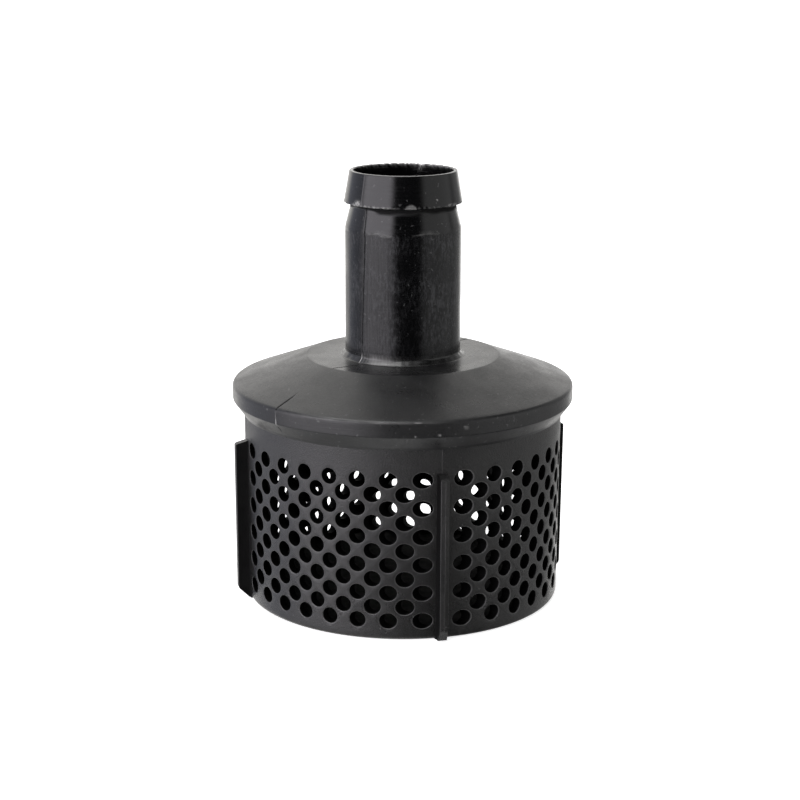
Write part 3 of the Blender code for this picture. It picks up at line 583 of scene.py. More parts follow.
def build_cap(material, shaft_material):
    """Hose tail with its barb and base fillet, plateau, cone, skirt and the space for the valve inside."""
    profile = cap_profile()
    azimuths = cap_azimuths()
    r = np.repeat(profile[None, :, 0], len(azimuths), axis=0)
    z = np.repeat(profile[None, :, 1], len(azimuths), axis=0)
    a = np.repeat(azimuths[:, None], len(profile), axis=1)
    chamber = (z < 77.5) & (r < 38.8) | (r < 53.7) & (z > 62.0) & (z < 69.5) & (r > 38.0)
    outside = (r > 16.6) & ~chamber
    satin = np.clip((80.5 - z) / 0.3, 0.25, 1.0) * np.where((r < 31.0) & (z > 79.9), 0.75, 1.0)
    satin = np.where(z > 82.0, 0.0, satin)
    scraped = share(z, 122.5, -1.5) * share(z, 82.0, 0.8) * outside
    front = nearest_turn(a, CAMERA_AZIMUTH)
    # Scraped less in a strip that faces the camera, which keeps that strip of the tail darker and glossier
    scraped *= 0.35 + 0.65 * share(np.abs(np.degrees(front) - 6.5), 9.0, 6.0)
    wear_and_highlight = np.zeros_like(r)
    crevice_shade = np.zeros_like(r)

    tail = outside & (z > 82.0)
    barb = tail & (z > 129.9)
    shaft = tail & ~barb
    fillet = outside & (z > 80.15) & (z <= 82.3)
    plateau = outside & (np.abs(z - PLATEAU_HEIGHT) < 0.05) & (r < 31.5)
    cone = outside & (z < 80.2) & (r > 31.5) & (z > 70.9)
    flange = outside & (z <= 71.2) & (z > 66.0)
    undercut = outside & (z <= 66.1)

    # The mould's parting line: a groove up the tail, across the plateau and at the foot of the cone, with a
    # little flash on the flange. The grooves are darkened with painted shade.
    drift = np.where(
        r < 20.6,
        np.interp(z, [84.0, 104.0, 120.0, 128.0], [0.5, 2.7, 4.8, 2.3]),
        np.interp(r, [20.5, 22.6, 30.6], [3.0, 5.4, 0.1]),
    )
    for line, drifting, strength in ((PARTING_AZIMUTH, 1.0, 1.0), (PARTING_AZIMUTH + math.pi, 0.0, 0.8)):
        off = nearest_turn(a, line + np.radians(drift) * drifting) * r
        straight = nearest_turn(a, line) * r
        broken = unit(0.75 + 0.5 * np.sin(z * 1.9) + 0.35 * np.sin(z * 5.3 + 1.0))
        r -= shaft * strength * 0.20 * hump(off, 0.30)
        crevice_shade += shaft * strength * broken * hump(off, 0.26)
        r += barb * strength * 0.05 * hump(straight, 0.30)
        on_ring = plateau * strength * share(r, 21.0, 1.5)
        z -= on_ring * 0.22 * hump(off, 0.30)
        crevice_shade += on_ring * hump(off, 0.34)
        wear_and_highlight += fillet * strength * 0.9 * hump(off, 0.22)
        on_cone = cone * strength * share(r, 46.5, 4.0)
        z -= on_cone * 0.40 * hump(straight, 0.32)
        crevice_shade += on_cone * hump(straight, 0.36)
        bent = straight + 0.05 * (z - 68.0)
        r += flange * strength * 0.16 * hump(bent, 0.24)
        wear_and_highlight += flange * strength * 0.55 * share(z, 70.4, -3.0) * hump(bent, 0.26)
        slanting = straight - 0.30 * (66.0 - z)
        r -= undercut * strength * 0.16 * hump(slanting, 0.26)
        crevice_shade += undercut * strength * hump(slanting, 0.26)

    # Uneven fillet at the foot of the tail, and a gouge in the plateau beside it, darkened with painted shade
    wobble = np.sin(3.0 * a + 0.7) + 0.6 * np.sin(7.0 * a + 2.0)
    wobble = wobble + 0.5 * np.sin(16.0 * a) + 0.3 * np.sin(39.0 * a)
    r += fillet * hump(z - 81.0, 1.1) * 0.13 * wobble
    along = np.degrees(nearest_turn(a, 0.0))
    gouge = hump(r - (25.6 + (along + 10.5) * 0.18), 0.62) * unit(1.2 - np.abs(along - 1.0) / 12.0)
    z -= plateau * 0.26 * gouge
    crevice_shade += plateau * 0.8 * gouge

    # The basket's weld line goes on up the undercut above the front rib
    r += undercut * 0.07 * hump(nearest_turn(a, math.radians(0.4)) * r, 0.28)

    # Black shadow line under the barb, uneven in width, and a scratched line where hoses stop scraping
    shade_low = 128.2 + 0.20 * np.sin(5.0 * a + 1.0) + 0.15 * np.sin(13.0 * a)
    shade_low += 0.7 * share(along, -38.0, -18.0)
    crevice_shade += shaft * 0.95 * share(z, shade_low, 0.6)
    scratched = unit(np.sin(7.0 * a + 0.5) + 0.6 * np.sin(29.0 * a) * np.sin(11.0 * a))
    wear_and_highlight += shaft * 0.10 * scratched * hump(z - 122.0 - 0.3 * np.sin(8.0 * a), 0.45)

    # Fillet at the foot of the tail lightened on the side of the parting line: partly whitened plastic,
    # partly a painted highlight
    whitened_and_highlight = share(along, -58.0, 5.0) * share(along, -14.0, -12.0)
    patchy = 0.60 + 0.35 * np.sin(17.0 * a + 1.5) * np.sin(5.0 * a)
    patchy = unit(patchy + 0.20 * np.sin(61.0 * a) * np.sin(43.0 * a + 0.7))
    wear_and_highlight += fillet * 0.34 * whitened_and_highlight * patchy
    wear_and_highlight += fillet * 0.03 * patchy

    # Lighter line along the edge between the cone and the flange: partly rubbed wear, partly a painted
    # highlight
    shoulder = (cone | flange) & (z > 69.4) & (z < 72.2)
    worn_and_highlight_arc = share(along, -52.0, 8.0) * share(along, 4.0, -22.0)
    rubbed = unit(0.55 + 0.45 * np.sin(31.0 * a) * np.sin(13.0 * a + 0.4))
    wear_and_highlight += shoulder * 0.16 * worn_and_highlight_arc * rubbed * hump(z - 70.95, 0.40)

    # Chewed barb edge with a flake and a scuff
    edge = hump(z - 130.45, 0.55) * (r > 18.0)
    bites = unit(np.sin(23.0 * a + 0.6) * np.sin(37.0 * a))
    r += edge * (0.04 * np.sin(41.0 * a) + 0.04 * np.sin(67.0 * a + 1.3) - 0.16 * bites)
    z += edge * 0.10 * np.sin(29.0 * a) * np.sin(11.0 * a + 2.0)
    ragged = unit(0.35 + 0.9 * np.sin(53.0 * a) * np.sin(19.0 * a + 0.4))
    span = share(front, -0.85, 0.1) * share(front, -0.12, -0.1)
    wear_and_highlight += edge * (0.24 * (0.3 + ragged) * span + 0.05 * ragged)
    flake_off = nearest_turn(a, math.radians(-63.0)) * r
    flake = np.exp(-((flake_off / 1.1) ** 2) - ((z - 131.1) / 0.75) ** 2) * barb
    flake += 0.6 * np.exp(-(((flake_off + 1.7) / 0.9) ** 2) - ((z - 130.5) / 0.4) ** 2) * barb
    torn = 0.7 + 0.5 * np.sin(4.1 * flake_off + 1.0) * np.sin(5.0 * (z - 130.0))
    wear_and_highlight += 0.80 * flake * unit(torn)
    r += 0.18 * flake
    moon_off = nearest_turn(a, math.radians(-6.2)) * r
    moon = unit(1.0 - np.hypot(moon_off / 2.0, (z - 130.2) / 1.55)) * barb
    wear_and_highlight += 0.20 * unit(4.0 * moon)

    # Frayed mouth, worst at the back, with one notch
    mouth = hump(z - TAIL_TOP, 0.55) * (r < 17.6)
    back = share(np.abs(front), 1.75, 0.5)
    fray = unit(np.sin(61.0 * a) * np.sin(23.0 * a + 1.0) + 0.3 * np.sin(97.0 * a))
    z -= mouth * (0.05 + 0.22 * back) * fray
    scar_off = nearest_turn(a, CAMERA_AZIMUTH + math.pi - math.radians(20.0)) * r
    notch = hump(scar_off, 1.0)
    z -= mouth * 0.35 * notch
    wear_and_highlight += mouth * back * (0.28 + 0.45 * fray + 0.8 * notch)
    depth = TAIL_TOP - z
    flecks = unit(0.4 + 0.6 * np.sin(47.0 * a + 2.0 * depth) * np.sin(17.0 * a + 0.5))
    wear_and_highlight += (r < 16.6) * back * 0.30 * unit(1.0 - depth / 1.5) * flecks
    inner_wall = (r < 16.3) & (depth < 4.2)
    scratch = 0.5 + 0.5 * np.sin(9.0 * scar_off + 3.0 * depth)
    scar = hump(scar_off - 0.35 * depth + 0.5, 1.3)
    wear_and_highlight += inner_wall * 0.75 * scar * unit(1.0 - depth / 3.0) * scratch

    for degrees, height, half_width, half_height, strength in CAP_SPOTS:
        across = nearest_turn(a, math.radians(degrees)) * r
        spot = unit(1.0 - np.hypot(across / half_width, (z - height) / half_height))
        wear_and_highlight += outside * strength * unit(2.5 * spot)

    vertices = np.stack([r * np.sin(a), -r * np.cos(a), z], axis=-1).reshape(-1, 3)
    faces = turned_over(ring_quads(len(azimuths), len(profile), closed=True))
    attributes = {"wear_and_highlight": wear_and_highlight, "crevice_shade": crevice_shade, "satin": satin, "scraped": scraped}
    attributes = {key: unit(values).ravel() for key, values in attributes.items()}
    obj = add_piece(
        "cap_moulding", vertices, faces, material, "housing", "hose_tail_cap", 30.0, attributes
    )
    obj.data.materials.append(shaft_material)
    scrape_limit = 121.9 + 0.5 * np.sin(9.0 * a) * np.sin(4.0 * a + 1.0) + 0.25 * np.sin(31.0 * a)
    scrape_limit += 0.35 * np.sin(83.0 * a) * np.sin(29.0 * a + 0.6)
    on_shaft = (0.5 * (z + np.roll(z, -1, axis=1)) < scrape_limit) & shaft
    obj.data.polygons.foreach_set("material_index", on_shaft.astype(np.int32).ravel())


class Shell:
    """Collects the basket's vertices by key, so that neighbouring tiles share them."""

    def __init__(self):
        self.index = {}
        self.vertices = []
        self.faces = []
        self.shaded = []
        self.flanks = []
        self.lip_wear_and_highlight = []

    def vertex(self, key, place):
        found = self.index.get(key)
        if found is None:
            found = len(self.vertices)
            self.index[key] = found
            self.vertices.append(place)
        return found

    def add(self, azimuth, reach, across, height):
        self.vertices.append(point_at(azimuth, reach, across, height))
        return len(self.vertices) - 1

    def strip(self, first, second, closed=True):
        """Quads between two rows of vertices of the same length."""
        count = len(first)
        for k in range(count if closed else count - 1):
            after = (k + 1) % count
            self.faces.append((first[k], first[after], second[after], second[k]))


def wall_radius(z):
    return WALL_FOOT_RADIUS + (WALL_TOP_RADIUS - WALL_FOOT_RADIUS) * z / LIP_HEIGHT


FIELD_EDGE = (LAST_COLUMN + 1) * COLUMN_STEP
FIELD_FOOT = FIRST_ROW - ROW_STEP
FIELD_TOP = FIRST_ROW + ROWS * ROW_STEP
INNER_FREE_EDGE = LAST_COLUMN * COLUMN_STEP + HOLE_RADIUS + 0.05
INNER_EDGE = INNER_RADIUS * math.sin(math.radians(44.5))
INNER_FREE_FOOT = FIRST_ROW - HOLE_RADIUS - 0.05


def inner_place(u, z):
    """Place of a tile's point on the inner surface: squeezed beside the last column, under the first row."""
    if abs(u) > INNER_FREE_EDGE:
        share = (abs(u) - INNER_FREE_EDGE) / (FIELD_EDGE - INNER_FREE_EDGE)
        u = math.copysign(INNER_FREE_EDGE + share * (INNER_EDGE - INNER_FREE_EDGE), u)
    if z < INNER_FREE_FOOT:
        share = (z - FIELD_FOOT) / (INNER_FREE_FOOT - FIELD_FOOT)
        z = FLOOR_TOP + share * (INNER_FREE_FOOT - FLOOR_TOP)
    return u, z


def field_vertex(shell, field, layer, u, z, depth=0.0):
    """Vertex of a hole field at u across and z up, on the outer surface less depth, or on the inner one."""
    key = (field, layer, round(u * 1000), round(z * 1000), round(depth * 1000))
    if key in shell.index:
        return shell.index[key]
    middle = math.pi / FIELDS * (2 * field + 1) + FIELD_TURN
    if layer == "inner":
        u, z = inner_place(u, z)
        w = math.sqrt(INNER_RADIUS**2 - u * u)
    else:
        w = math.sqrt(wall_radius(z) ** 2 - u * u) - depth
    return shell.vertex(key, point_at(middle, w, u, z))


def tile_border(u, z):
    """Points of the diamond round a hole, anticlockwise from its right corner."""
    corners = [(COLUMN_STEP, 0.0), (0.0, ROW_STEP), (-COLUMN_STEP, 0.0), (0.0, -ROW_STEP)]
    points = []
    for k in range(4):
        (u0, z0), (u1, z1) = corners[k], corners[(k + 1) % 4]
        for step in range(SIDE_STEPS):
            t = step / SIDE_STEPS
            points.append((u + u0 + (u1 - u0) * t, z + z0 + (z1 - z0) * t))
    return points


def hole_tile(shell, field, u, z):
    """Diamond tile of the wall with one hole through it, rounded at its outer lip."""
    border = tile_border(u, z)
    count = len(border)
    rings = []
    for step in range(LIP_STEPS + 1):
        t = math.pi / 2 * step / LIP_STEPS
        radius = HOLE_RADIUS + HOLE_LIP * (1.0 - math.cos(t))
        depth = HOLE_LIP * (1.0 - math.sin(t))
        ring = []
        for k in range(count):
            angle = math.tau * k / count
            point = (u + radius * math.cos(angle), z + radius * math.sin(angle))
            ring.append(field_vertex(shell, field, "outer", *point, depth))
        rings.append(ring)
    rings.append([field_vertex(shell, field, "outer", *point) for point in border])
    for inside, outside in zip(rings, rings[1:]):
        shell.strip(outside, inside)
    inner_ring = []
    for k in range(count):
        angle = math.tau * k / count
        point = (u + INNER_HOLE_RADIUS * math.cos(angle), z + INNER_HOLE_RADIUS * math.sin(angle))
        inner_ring.append(field_vertex(shell, field, "inner", *point))
    # These lip rings are lightened later: partly burr whitening, partly a painted highlight
    shell.lip_wear_and_highlight += [v for ring in rings[1:3] for v in ring]
    first = len(shell.faces)
    shell.strip(rings[0], inner_ring)
    inner_border = [field_vertex(shell, field, "inner", *point) for point in border]
    shell.strip(inner_ring, inner_border)
    shell.shaded += range(first, len(shell.faces))


def plain_tile(shell, field, first, second, third):
    """Triangular piece of the wall with no hole, between the outermost tiles and the field's edge."""
    a, b, c = (np.array(point) for point in (first, second, third))
    for layer in ("outer", "inner"):
        rows = []
        for k in range(SIDE_STEPS + 1):
            row = []
            for m in range(k + 1):
                point = a + (b - a) * k / SIDE_STEPS + (c - b) * m / SIDE_STEPS
                row.append(field_vertex(shell, field, layer, float(point[0]), float(point[1])))
            rows.append(row)
        flip = layer == "inner"
        first_face = len(shell.faces)
        for upper, lower in zip(rows, rows[1:]):
            for m in range(len(upper)):
                add_triangle(shell, upper[m], lower[m], lower[m + 1], flip)
            for m in range(len(upper) - 1):
                add_triangle(shell, upper[m], lower[m + 1], upper[m + 1], flip)
        if flip:
            shell.shaded += range(first_face, len(shell.faces))


def add_triangle(shell, a, b, c, flip):
    shell.faces.append((a, c, b) if flip else (a, b, c))


def edge_steps(low, first, last, high):
    """Positions along a field's edge: fine in both corners, twice as coarse between them."""
    corner = [low + (first - low) * k / SIDE_STEPS for k in range(SIDE_STEPS)]
    pieces = round((last - first) / (first - low)) * SIDE_STEPS // 2
    middle = [first + (last - first) * k / pieces for k in range(pieces)]
    end = [last + (high - last) * k / SIDE_STEPS for k in range(SIDE_STEPS + 1)]
    return corner + middle + end


def hole_field(shell, field):
    for column in range(-LAST_COLUMN, LAST_COLUMN + 1):
        for row in range(ROWS):
            if (column + row) % 2:
                hole_tile(shell, field, column * COLUMN_STEP, FIRST_ROW + row * ROW_STEP)
    for column in range(-LAST_COLUMN + 1, LAST_COLUMN, 2):
        u = column * COLUMN_STEP
        left, right = u - COLUMN_STEP, u + COLUMN_STEP
        top_row, low_row = FIELD_TOP - ROW_STEP, FIELD_FOOT + ROW_STEP
        plain_tile(shell, field, (u, top_row), (right, FIELD_TOP), (left, FIELD_TOP))
        plain_tile(shell, field, (u, low_row), (left, FIELD_FOOT), (right, FIELD_FOOT))
    for side in (-1, 1):
        edge = side * FIELD_EDGE
        inside = side * (FIELD_EDGE - COLUMN_STEP)
        for row in range(1, ROWS, 2):
            z = FIRST_ROW + row * ROW_STEP
            ends = [(edge, z + side * -ROW_STEP), (edge, z + side * ROW_STEP)]
            plain_tile(shell, field, (inside, z), *ends)
        for z, near in ((FIELD_FOOT, FIRST_ROW), (FIELD_TOP, FIELD_TOP - ROW_STEP)):
            ends = [(inside, z), (edge, near)]
            if (z == FIELD_FOOT) == (side == -1):
                ends.reverse()
            plain_tile(shell, field, (edge, z), *ends)


def edge_column(shell, field, side, layer):
    """Vertices up one side of a field, from its foot to its top."""
    heights = edge_steps(FIELD_FOOT, FIRST_ROW, FIELD_TOP - ROW_STEP, FIELD_TOP)
    return [field_vertex(shell, field, layer, side * FIELD_EDGE, z) for z in heights]


def edge_ring(shell, z, layer):
    """Vertices all round the basket along the foot or the top of the fields."""
    inside = FIELD_EDGE - COLUMN_STEP
    across = edge_steps(-FIELD_EDGE, -inside, inside, FIELD_EDGE)
    ring = []
    for field in range(FIELDS):
        ring += [field_vertex(shell, field, layer, u, z) for u in across]
    return ring


def lathe_rings(shell, start, places):
    """Rings that go on from a ring of vertices, each at its own radius and height."""
    azimuths = [math.atan2(shell.vertices[v][0], -shell.vertices[v][1]) for v in start]
    before = start
    for radius, height in places:
        ring = [shell.add(azimuth, radius, 0.0, height) for azimuth in azimuths]
        shell.strip(before, ring)
        before = ring
    return before


# Ribs of the basket: azimuth in degrees, how far the tip falls short at the foot, radius of the sloped toe
RIBS = [(0.0, 0.0, 54.2), (91.3, 0.5, 52.6), (180.4, 0.2, 52.6), (-89.5, 0.15, 52.6)]


def add_rib(shell, azimuth, draft, toe):
    """Rib with a root fillet, a little draft, rounded edges, sloped ends and the mould's line on its tip."""
    root, half_root, half_tip, corner = 52.05, 1.42, 1.36, 0.26
    flash, flash_place = 0.05, 0.14
    side = [(half_root + 0.40, root - 0.25), (half_root + 0.14, root + 0.03), (half_root, root + 0.30)]
    side += [(half_tip, RIB_REACH - flash - corner)]
    for step in (1, 2, 3):
        t = math.pi / 2 * step / 3
        side.append((half_tip - corner * (1 - math.cos(t)), RIB_REACH - flash - corner * (1 - math.sin(t))))
    tip = [(flash_place + 0.12, RIB_REACH - flash), (flash_place, RIB_REACH)]
    tip += [(flash_place - 0.12, RIB_REACH - flash)]
    section = [(half_root + 0.40, root - 1.4)] + side + tip
    section += [(-s, r) for s, r in reversed(side)] + [(-half_root - 0.40, root - 1.4)]
    ends = [
        (0.02, toe - 0.7),
        (0.3, toe),
        (3.3, 55.7),
        (3.7, 55.95),
        (4.2, RIB_REACH),
        (28.0, RIB_REACH),
        (52.2, RIB_REACH),
        (52.6, 56.1),
        (52.85, 55.8),
        (53.05, 55.2),
        (53.6, 53.2),
        (54.0, 51.7),
        (54.3, 50.7),
    ]
    rings = []
    for height, reach in ends:
        ring = []
        short = draft * (1.0 - height / ends[-1][0])
        for s, r in section:
            ring.append(shell.add(azimuth, min(r, reach) - short * (r > root + 0.3), s, height))
        rings.append(ring)
    flank_end = RIB_REACH - flash - corner + 0.01
    next_reach = [r for _, r in section[1:] + section[:1]]
    flanks = [k for k, (_, r) in enumerate(section) if max(r, next_reach[k]) < flank_end]
    for lower, upper in zip(rings, rings[1:]):
        first = len(shell.faces)
        shell.strip(lower, upper)
        shell.flanks += [first + k for k in flanks]
    shell.faces.append(tuple(reversed(rings[0])))
    shell.faces.append(tuple(rings[-1]))


def add_weld_line(shell, azimuth):
    """Hair-thin ridge that the mould left on the wall above a rib, sunk into the wall at both sides."""
    rings = []
    for height in (53.0, 56.0, 59.0, 61.8):
        section = ((-0.16, -0.3), (-0.16, -0.02), (0.0, 0.07), (0.16, -0.02), (0.16, -0.3))
        rings.append([shell.add(azimuth, wall_radius(height) + rise, s, height) for s, rise in section])
    for lower, upper in zip(rings, rings[1:]):
        shell.strip(upper, lower)
    shell.faces.append(tuple(rings[0]))
    shell.faces.append(tuple(reversed(rings[-1])))


def build_basket(material, bore, flank):
    """Perforated wall with rounded lips, snap bead, floor, foot ring and four ribs."""
    shell = Shell()
    for field in range(FIELDS):
        hole_field(shell, field)
    for field in range(FIELDS):
        following = (field + 1) % FIELDS
        shell.strip(
            edge_column(shell, following, -1, "outer"), edge_column(shell, field, 1, "outer"), closed=False
        )
        first = len(shell.faces)
        shell.strip(
            edge_column(shell, field, 1, "inner"), edge_column(shell, following, -1, "inner"), closed=False
        )
        shell.shaded += range(first, len(shell.faces))
    above = [(wall_radius(z), z) for z in (58.0, 60.0, 61.8, 62.9)]
    above += [(53.0, 63.9), (53.2, 64.3), (53.2, 64.8), (53.0, RIM_HEIGHT)]
    outer_top = lathe_rings(shell, edge_ring(shell, FIELD_TOP, "outer"), above)
    inner_top = edge_ring(shell, FIELD_TOP, "inner")
    inner_top = lathe_rings(shell, inner_top, [(INNER_RADIUS, 56.9), (RIM_INNER_RADIUS, 57.5)])
    rim = [(RIM_INNER_RADIUS, 60.5), (RIM_INNER_RADIUS, RIM_HEIGHT - 0.2)]
    inner_top = lathe_rings(shell, inner_top, rim)
    inner_top = lathe_rings(shell, inner_top, [(RIM_INNER_RADIUS + 0.2, RIM_HEIGHT)])
    shell.strip(outer_top, inner_top)
    below = [(wall_radius(1.2), 1.25), (51.75, 0.75), (51.5, 0.35), (51.1, 0.09), (50.7, 0.0)]
    below += [(48.8, 0.0), (46.9, 0.0), (46.55, 0.1), (46.4, 0.35), (46.1, 0.7), (45.6, FLOOR_FOOT)]
    below += [(36.0, FLOOR_FOOT), (24.0, FLOOR_FOOT), (12.0, FLOOR_FOOT), (3.2, FLOOR_FOOT)]
    below += [(3.0, FLOOR_FOOT - 0.25), (1.4, FLOOR_FOOT - 0.3), (1.1, FLOOR_FOOT - 0.1)]
    underside = lathe_rings(shell, edge_ring(shell, FIELD_FOOT, "outer"), below)
    shell.faces.append(tuple(underside))
    floor = [(48.9, FLOOR_TOP), (36.0, FLOOR_TOP), (20.0, FLOOR_TOP), (6.0, FLOOR_TOP)]
    first = len(shell.faces)
    inside = lathe_rings(shell, edge_ring(shell, FIELD_FOOT, "inner"), floor)
    shell.faces.append(tuple(reversed(inside)))
    shell.shaded += range(first, len(shell.faces))
    for degrees, draft, toe in RIBS:
        add_rib(shell, math.radians(degrees), draft, toe)
        add_weld_line(shell, math.radians(degrees))
    places = np.array(shell.vertices)
    wear_and_highlight = np.zeros(len(places))
    reach = np.hypot(places[:, 0], places[:, 1])
    wear_and_highlight[reach > RIB_REACH - 0.03] = 0.22
    # Hole lips lightened: partly burr whitening, partly a painted highlight
    wear_and_highlight[shell.lip_wear_and_highlight] = 0.22
    obj = add_piece(
        "strainer_moulding",
        places,
        shell.faces,
        material,
        "housing",
        "strainer_basket",
        32.0,
        {"wear_and_highlight": wear_and_highlight},
    )
    # Inside faces, hole walls and the ribs' flanks take the darker copies: painted shade
    obj.data.materials.append(bore)
    obj.data.materials.append(flank)
    numbers = np.zeros(len(obj.data.polygons), np.int32)
    numbers[shell.shaded] = 1
    numbers[shell.flanks] = 2
    obj.data.polygons.foreach_set("material_index", numbers)


# ---------------------------------------------------------------- inner pieces


# CAD nodes that only need rounded edges: body, material slot and width of the rounding in mm
SOFTENED = [
    ("valve_seat_plate", "housing", "plate_plastic", 0.35),
    ("seat_ring", "housing", "brass", 0.22),
    ("cap_gasket", "housing", "rubber", 0.15),
    ("hinge_bracket", "housing", "steel", 0.18),
    ("hinge_pin", "housing", "steel", 0.22),
    ("pin_clip_1", "housing", "steel", 0.12),
    ("pin_clip_2", "housing", "steel", 0.12),
    ("clapper_carrier", "clapper", "plate_plastic", 0.22),
    ("clapper_seal", "clapper", "rubber", 0.3),
    ("seal_retainer", "clapper", "steel", 0.22),
]


def soften(node, body, material, width):
    """A copy of a CAD node with its edges rounded stands for it."""
    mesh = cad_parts[node].data.copy()
    mesh.name = f"{node}_fine"
    mesh.materials.clear()
    mesh.materials.append(material)
    obj = new_object(f"{node}_fine", mesh)
    weld = obj.modifiers.new("weld", "WELD")
    weld.merge_threshold = 0.002 * MM
    bevel = obj.modifiers.new("bevel", "BEVEL")
    bevel.width = width * MM
    bevel.segments = 2
    bevel.limit_method = "ANGLE"
    bevel.angle_limit = math.radians(40.0)
    bevel.use_clamp_overlap = True
    mesh.shade_smooth()
    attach(obj, body)
    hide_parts(node)


def thread_mesh(radius, pitch, depth, foot, top, steps=36):
    """Vertices and faces of a threaded shank with flat ends, in mm round its own axis."""
    rows = max(4, round((top - foot) / pitch * 6))
    vertices = []
    for j in range(rows + 1):
        z = foot + (top - foot) * j / rows
        ends = min(1.0, (j + 0.001) / 3.0, (rows - j + 0.001) / 3.0)
        for k in range(steps):
            phase = (z / pitch - k / steps) % 1.0
            crest = abs(2.0 * phase - 1.0)
            r = radius - depth * (1.0 - crest * ends)
            angle = math.tau * k / steps
            vertices.append((r * math.cos(angle), r * math.sin(angle), z))
    return vertices, ring_quads(rows + 1, steps) + end_caps(rows + 1, steps)


def hexagon_mesh(across_corners, foot, top, chamfer, bore=0.0, steps=96):
    """Hexagon head or nut whose corners are turned off at both ends, with a bore if one is given."""
    apothem = across_corners * math.cos(math.pi / 6)
    rows = [(0.0, apothem - 0.12), (chamfer * 0.5, apothem + 0.35 * (across_corners - apothem))]
    rows += [(chamfer, across_corners)]
    profile = [(foot + rise, limit) for rise, limit in rows]
    profile += [(top - rise, limit) for rise, limit in reversed(rows)]
    vertices = []
    for z, limit in profile:
        for k in range(steps):
            angle = math.tau * k / steps
            flat = apothem / math.cos((angle + math.pi / 6) % (math.pi / 3) - math.pi / 6)
            r = min(flat, limit)
            vertices.append((r * math.cos(angle), r * math.sin(angle), z))
    count = len(profile)
    if bore > 0.0:
        for z, r in ((top, bore + 0.35), (top - 0.35, bore), (foot + 0.35, bore), (foot, bore + 0.35)):
            vertices += circle(r, z, steps)
        return vertices, ring_quads(count + 4, steps, closed=True)
    return vertices, ring_quads(count, steps) + end_caps(count, steps)


def join_meshes(parts):
    vertices, faces = [], []
    for part_vertices, part_faces in parts:
        start = len(vertices)
        vertices += part_vertices
        faces += [tuple(start + v for v in face) for face in part_faces]
    return vertices, faces


def build_bolt_and_nut(steel):
    low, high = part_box("clapper_bolt")
    corners = max(high.x, -low.x) / MM
    head_height = 3.1
    shank = thread_mesh(2.5, 0.8, 0.42, low.z / MM + head_height - 0.4, high.z / MM)
    head = hexagon_mesh(corners, low.z / MM, low.z / MM + head_height, 0.45)
    vertices, faces = join_meshes([head, shank])
    add_piece("clapper_bolt_fine", vertices, faces, steel, "clapper", "clapper_bolt")
    low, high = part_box("clapper_nut")
    corners = max(high.x, -low.x) / MM
    vertices, faces = hexagon_mesh(corners, low.z / MM, high.z / MM, 0.5, bore=2.62)
    add_piece("clapper_nut_fine", vertices, faces, steel, "clapper", "clapper_nut")


def build_lock_washer(steel):
    """Split spring washer: one turn of a square wire with a slanting gap."""
    low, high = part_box("lock_washer")
    outer, inner = high.x / MM, 2.75
    foot, top = low.z / MM, high.z / MM
    gap = math.radians(9.0)
    steps = 72
    ease = 0.12
    section = [
        (inner, foot + ease),
        (inner + ease, foot),
        (outer - ease, foot),
        (outer, foot + ease),
        (outer, top - ease),
        (outer - ease, top),
        (inner + ease, top),
        (inner, top - ease),
    ]
    vertices = []
    for j in range(steps + 1):
        for r, z in section:
            slant = (z - foot) / (top - foot) * math.radians(12.0)
            angle = gap / 2 + slant + (math.tau - gap) * j / steps
            vertices.append((r * math.cos(angle), r * math.sin(angle), z))
    count = len(section)
    faces = turned_over(ring_quads(steps + 1, count))
    faces += [tuple(reversed(face)) for face in end_caps(steps + 1, count)]
    add_piece("lock_washer_fine", vertices, faces, steel, "clapper", "lock_washer")


def build_screw(node, steel):
    """Pan-head screw with a domed head, a driver slot and a thread."""
    low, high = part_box(node)
    x, y = (low.x + high.x) / 2 / MM, (low.y + high.y) / 2 / MM
    length = (high.z - low.z) / MM
    head_radius, head_height, shank_radius = 2.6, 1.8, 1.3
    head_up = node.startswith("bracket")
    slot_half, slot_depth = 0.35, 0.8
    steps = 48
    dome = [(head_radius, 0.0), (head_radius, 0.75), (2.45, 1.2), (2.1, 1.55), (1.5, head_height)]
    vertices = []
    for r, z in dome:
        vertices += circle(r, z, steps)
    faces = ring_quads(len(dome), steps) + end_caps(len(dome), steps)
    shank = thread_mesh(shank_radius, 0.6, 0.24, head_height - length, 0.2, 24)
    vertices, faces = join_meshes([(vertices, faces), shank])
    flip = 1.0 if head_up else -1.0
    base = high.z / MM - head_height if head_up else low.z / MM + head_height
    placed = [(x + vx, y + vy * flip, base + vz * flip) for vx, vy, vz in vertices]
    obj = add_piece(f"{node}_fine", placed, faces, steel, "housing", node)
    face = head_height * flip + base
    reach = head_radius + 0.3
    cut = bpy.data.meshes.new(f"{node}_slot")
    corner = []
    for cx in (-reach, reach):
        for cy in (-slot_half, slot_half):
            for cz in (-slot_depth, slot_depth):
                corner.append(((x + cx) * MM, (y + cy) * MM, (face + cz) * MM))
    quads = [(0, 1, 3, 2), (4, 6, 7, 5), (0, 4, 5, 1), (2, 3, 7, 6), (0, 2, 6, 4), (1, 5, 7, 3)]
    cut.from_pydata(corner, [], quads)
    cutter = new_object(f"{node}_slot", cut)
    slot = obj.modifiers.new("slot", "BOOLEAN")
    slot.operation = "DIFFERENCE"
    slot.solver = "EXACT"
    slot.object = cutter
    bpy.context.view_layer.update()
    shaped = bpy.data.meshes.new_from_object(obj.evaluated_get(bpy.context.evaluated_depsgraph_get()))
    obj.modifiers.clear()
    obj.data = shaped
    bpy.data.objects.remove(cutter)


# ---------------------------------------------------------------- stage


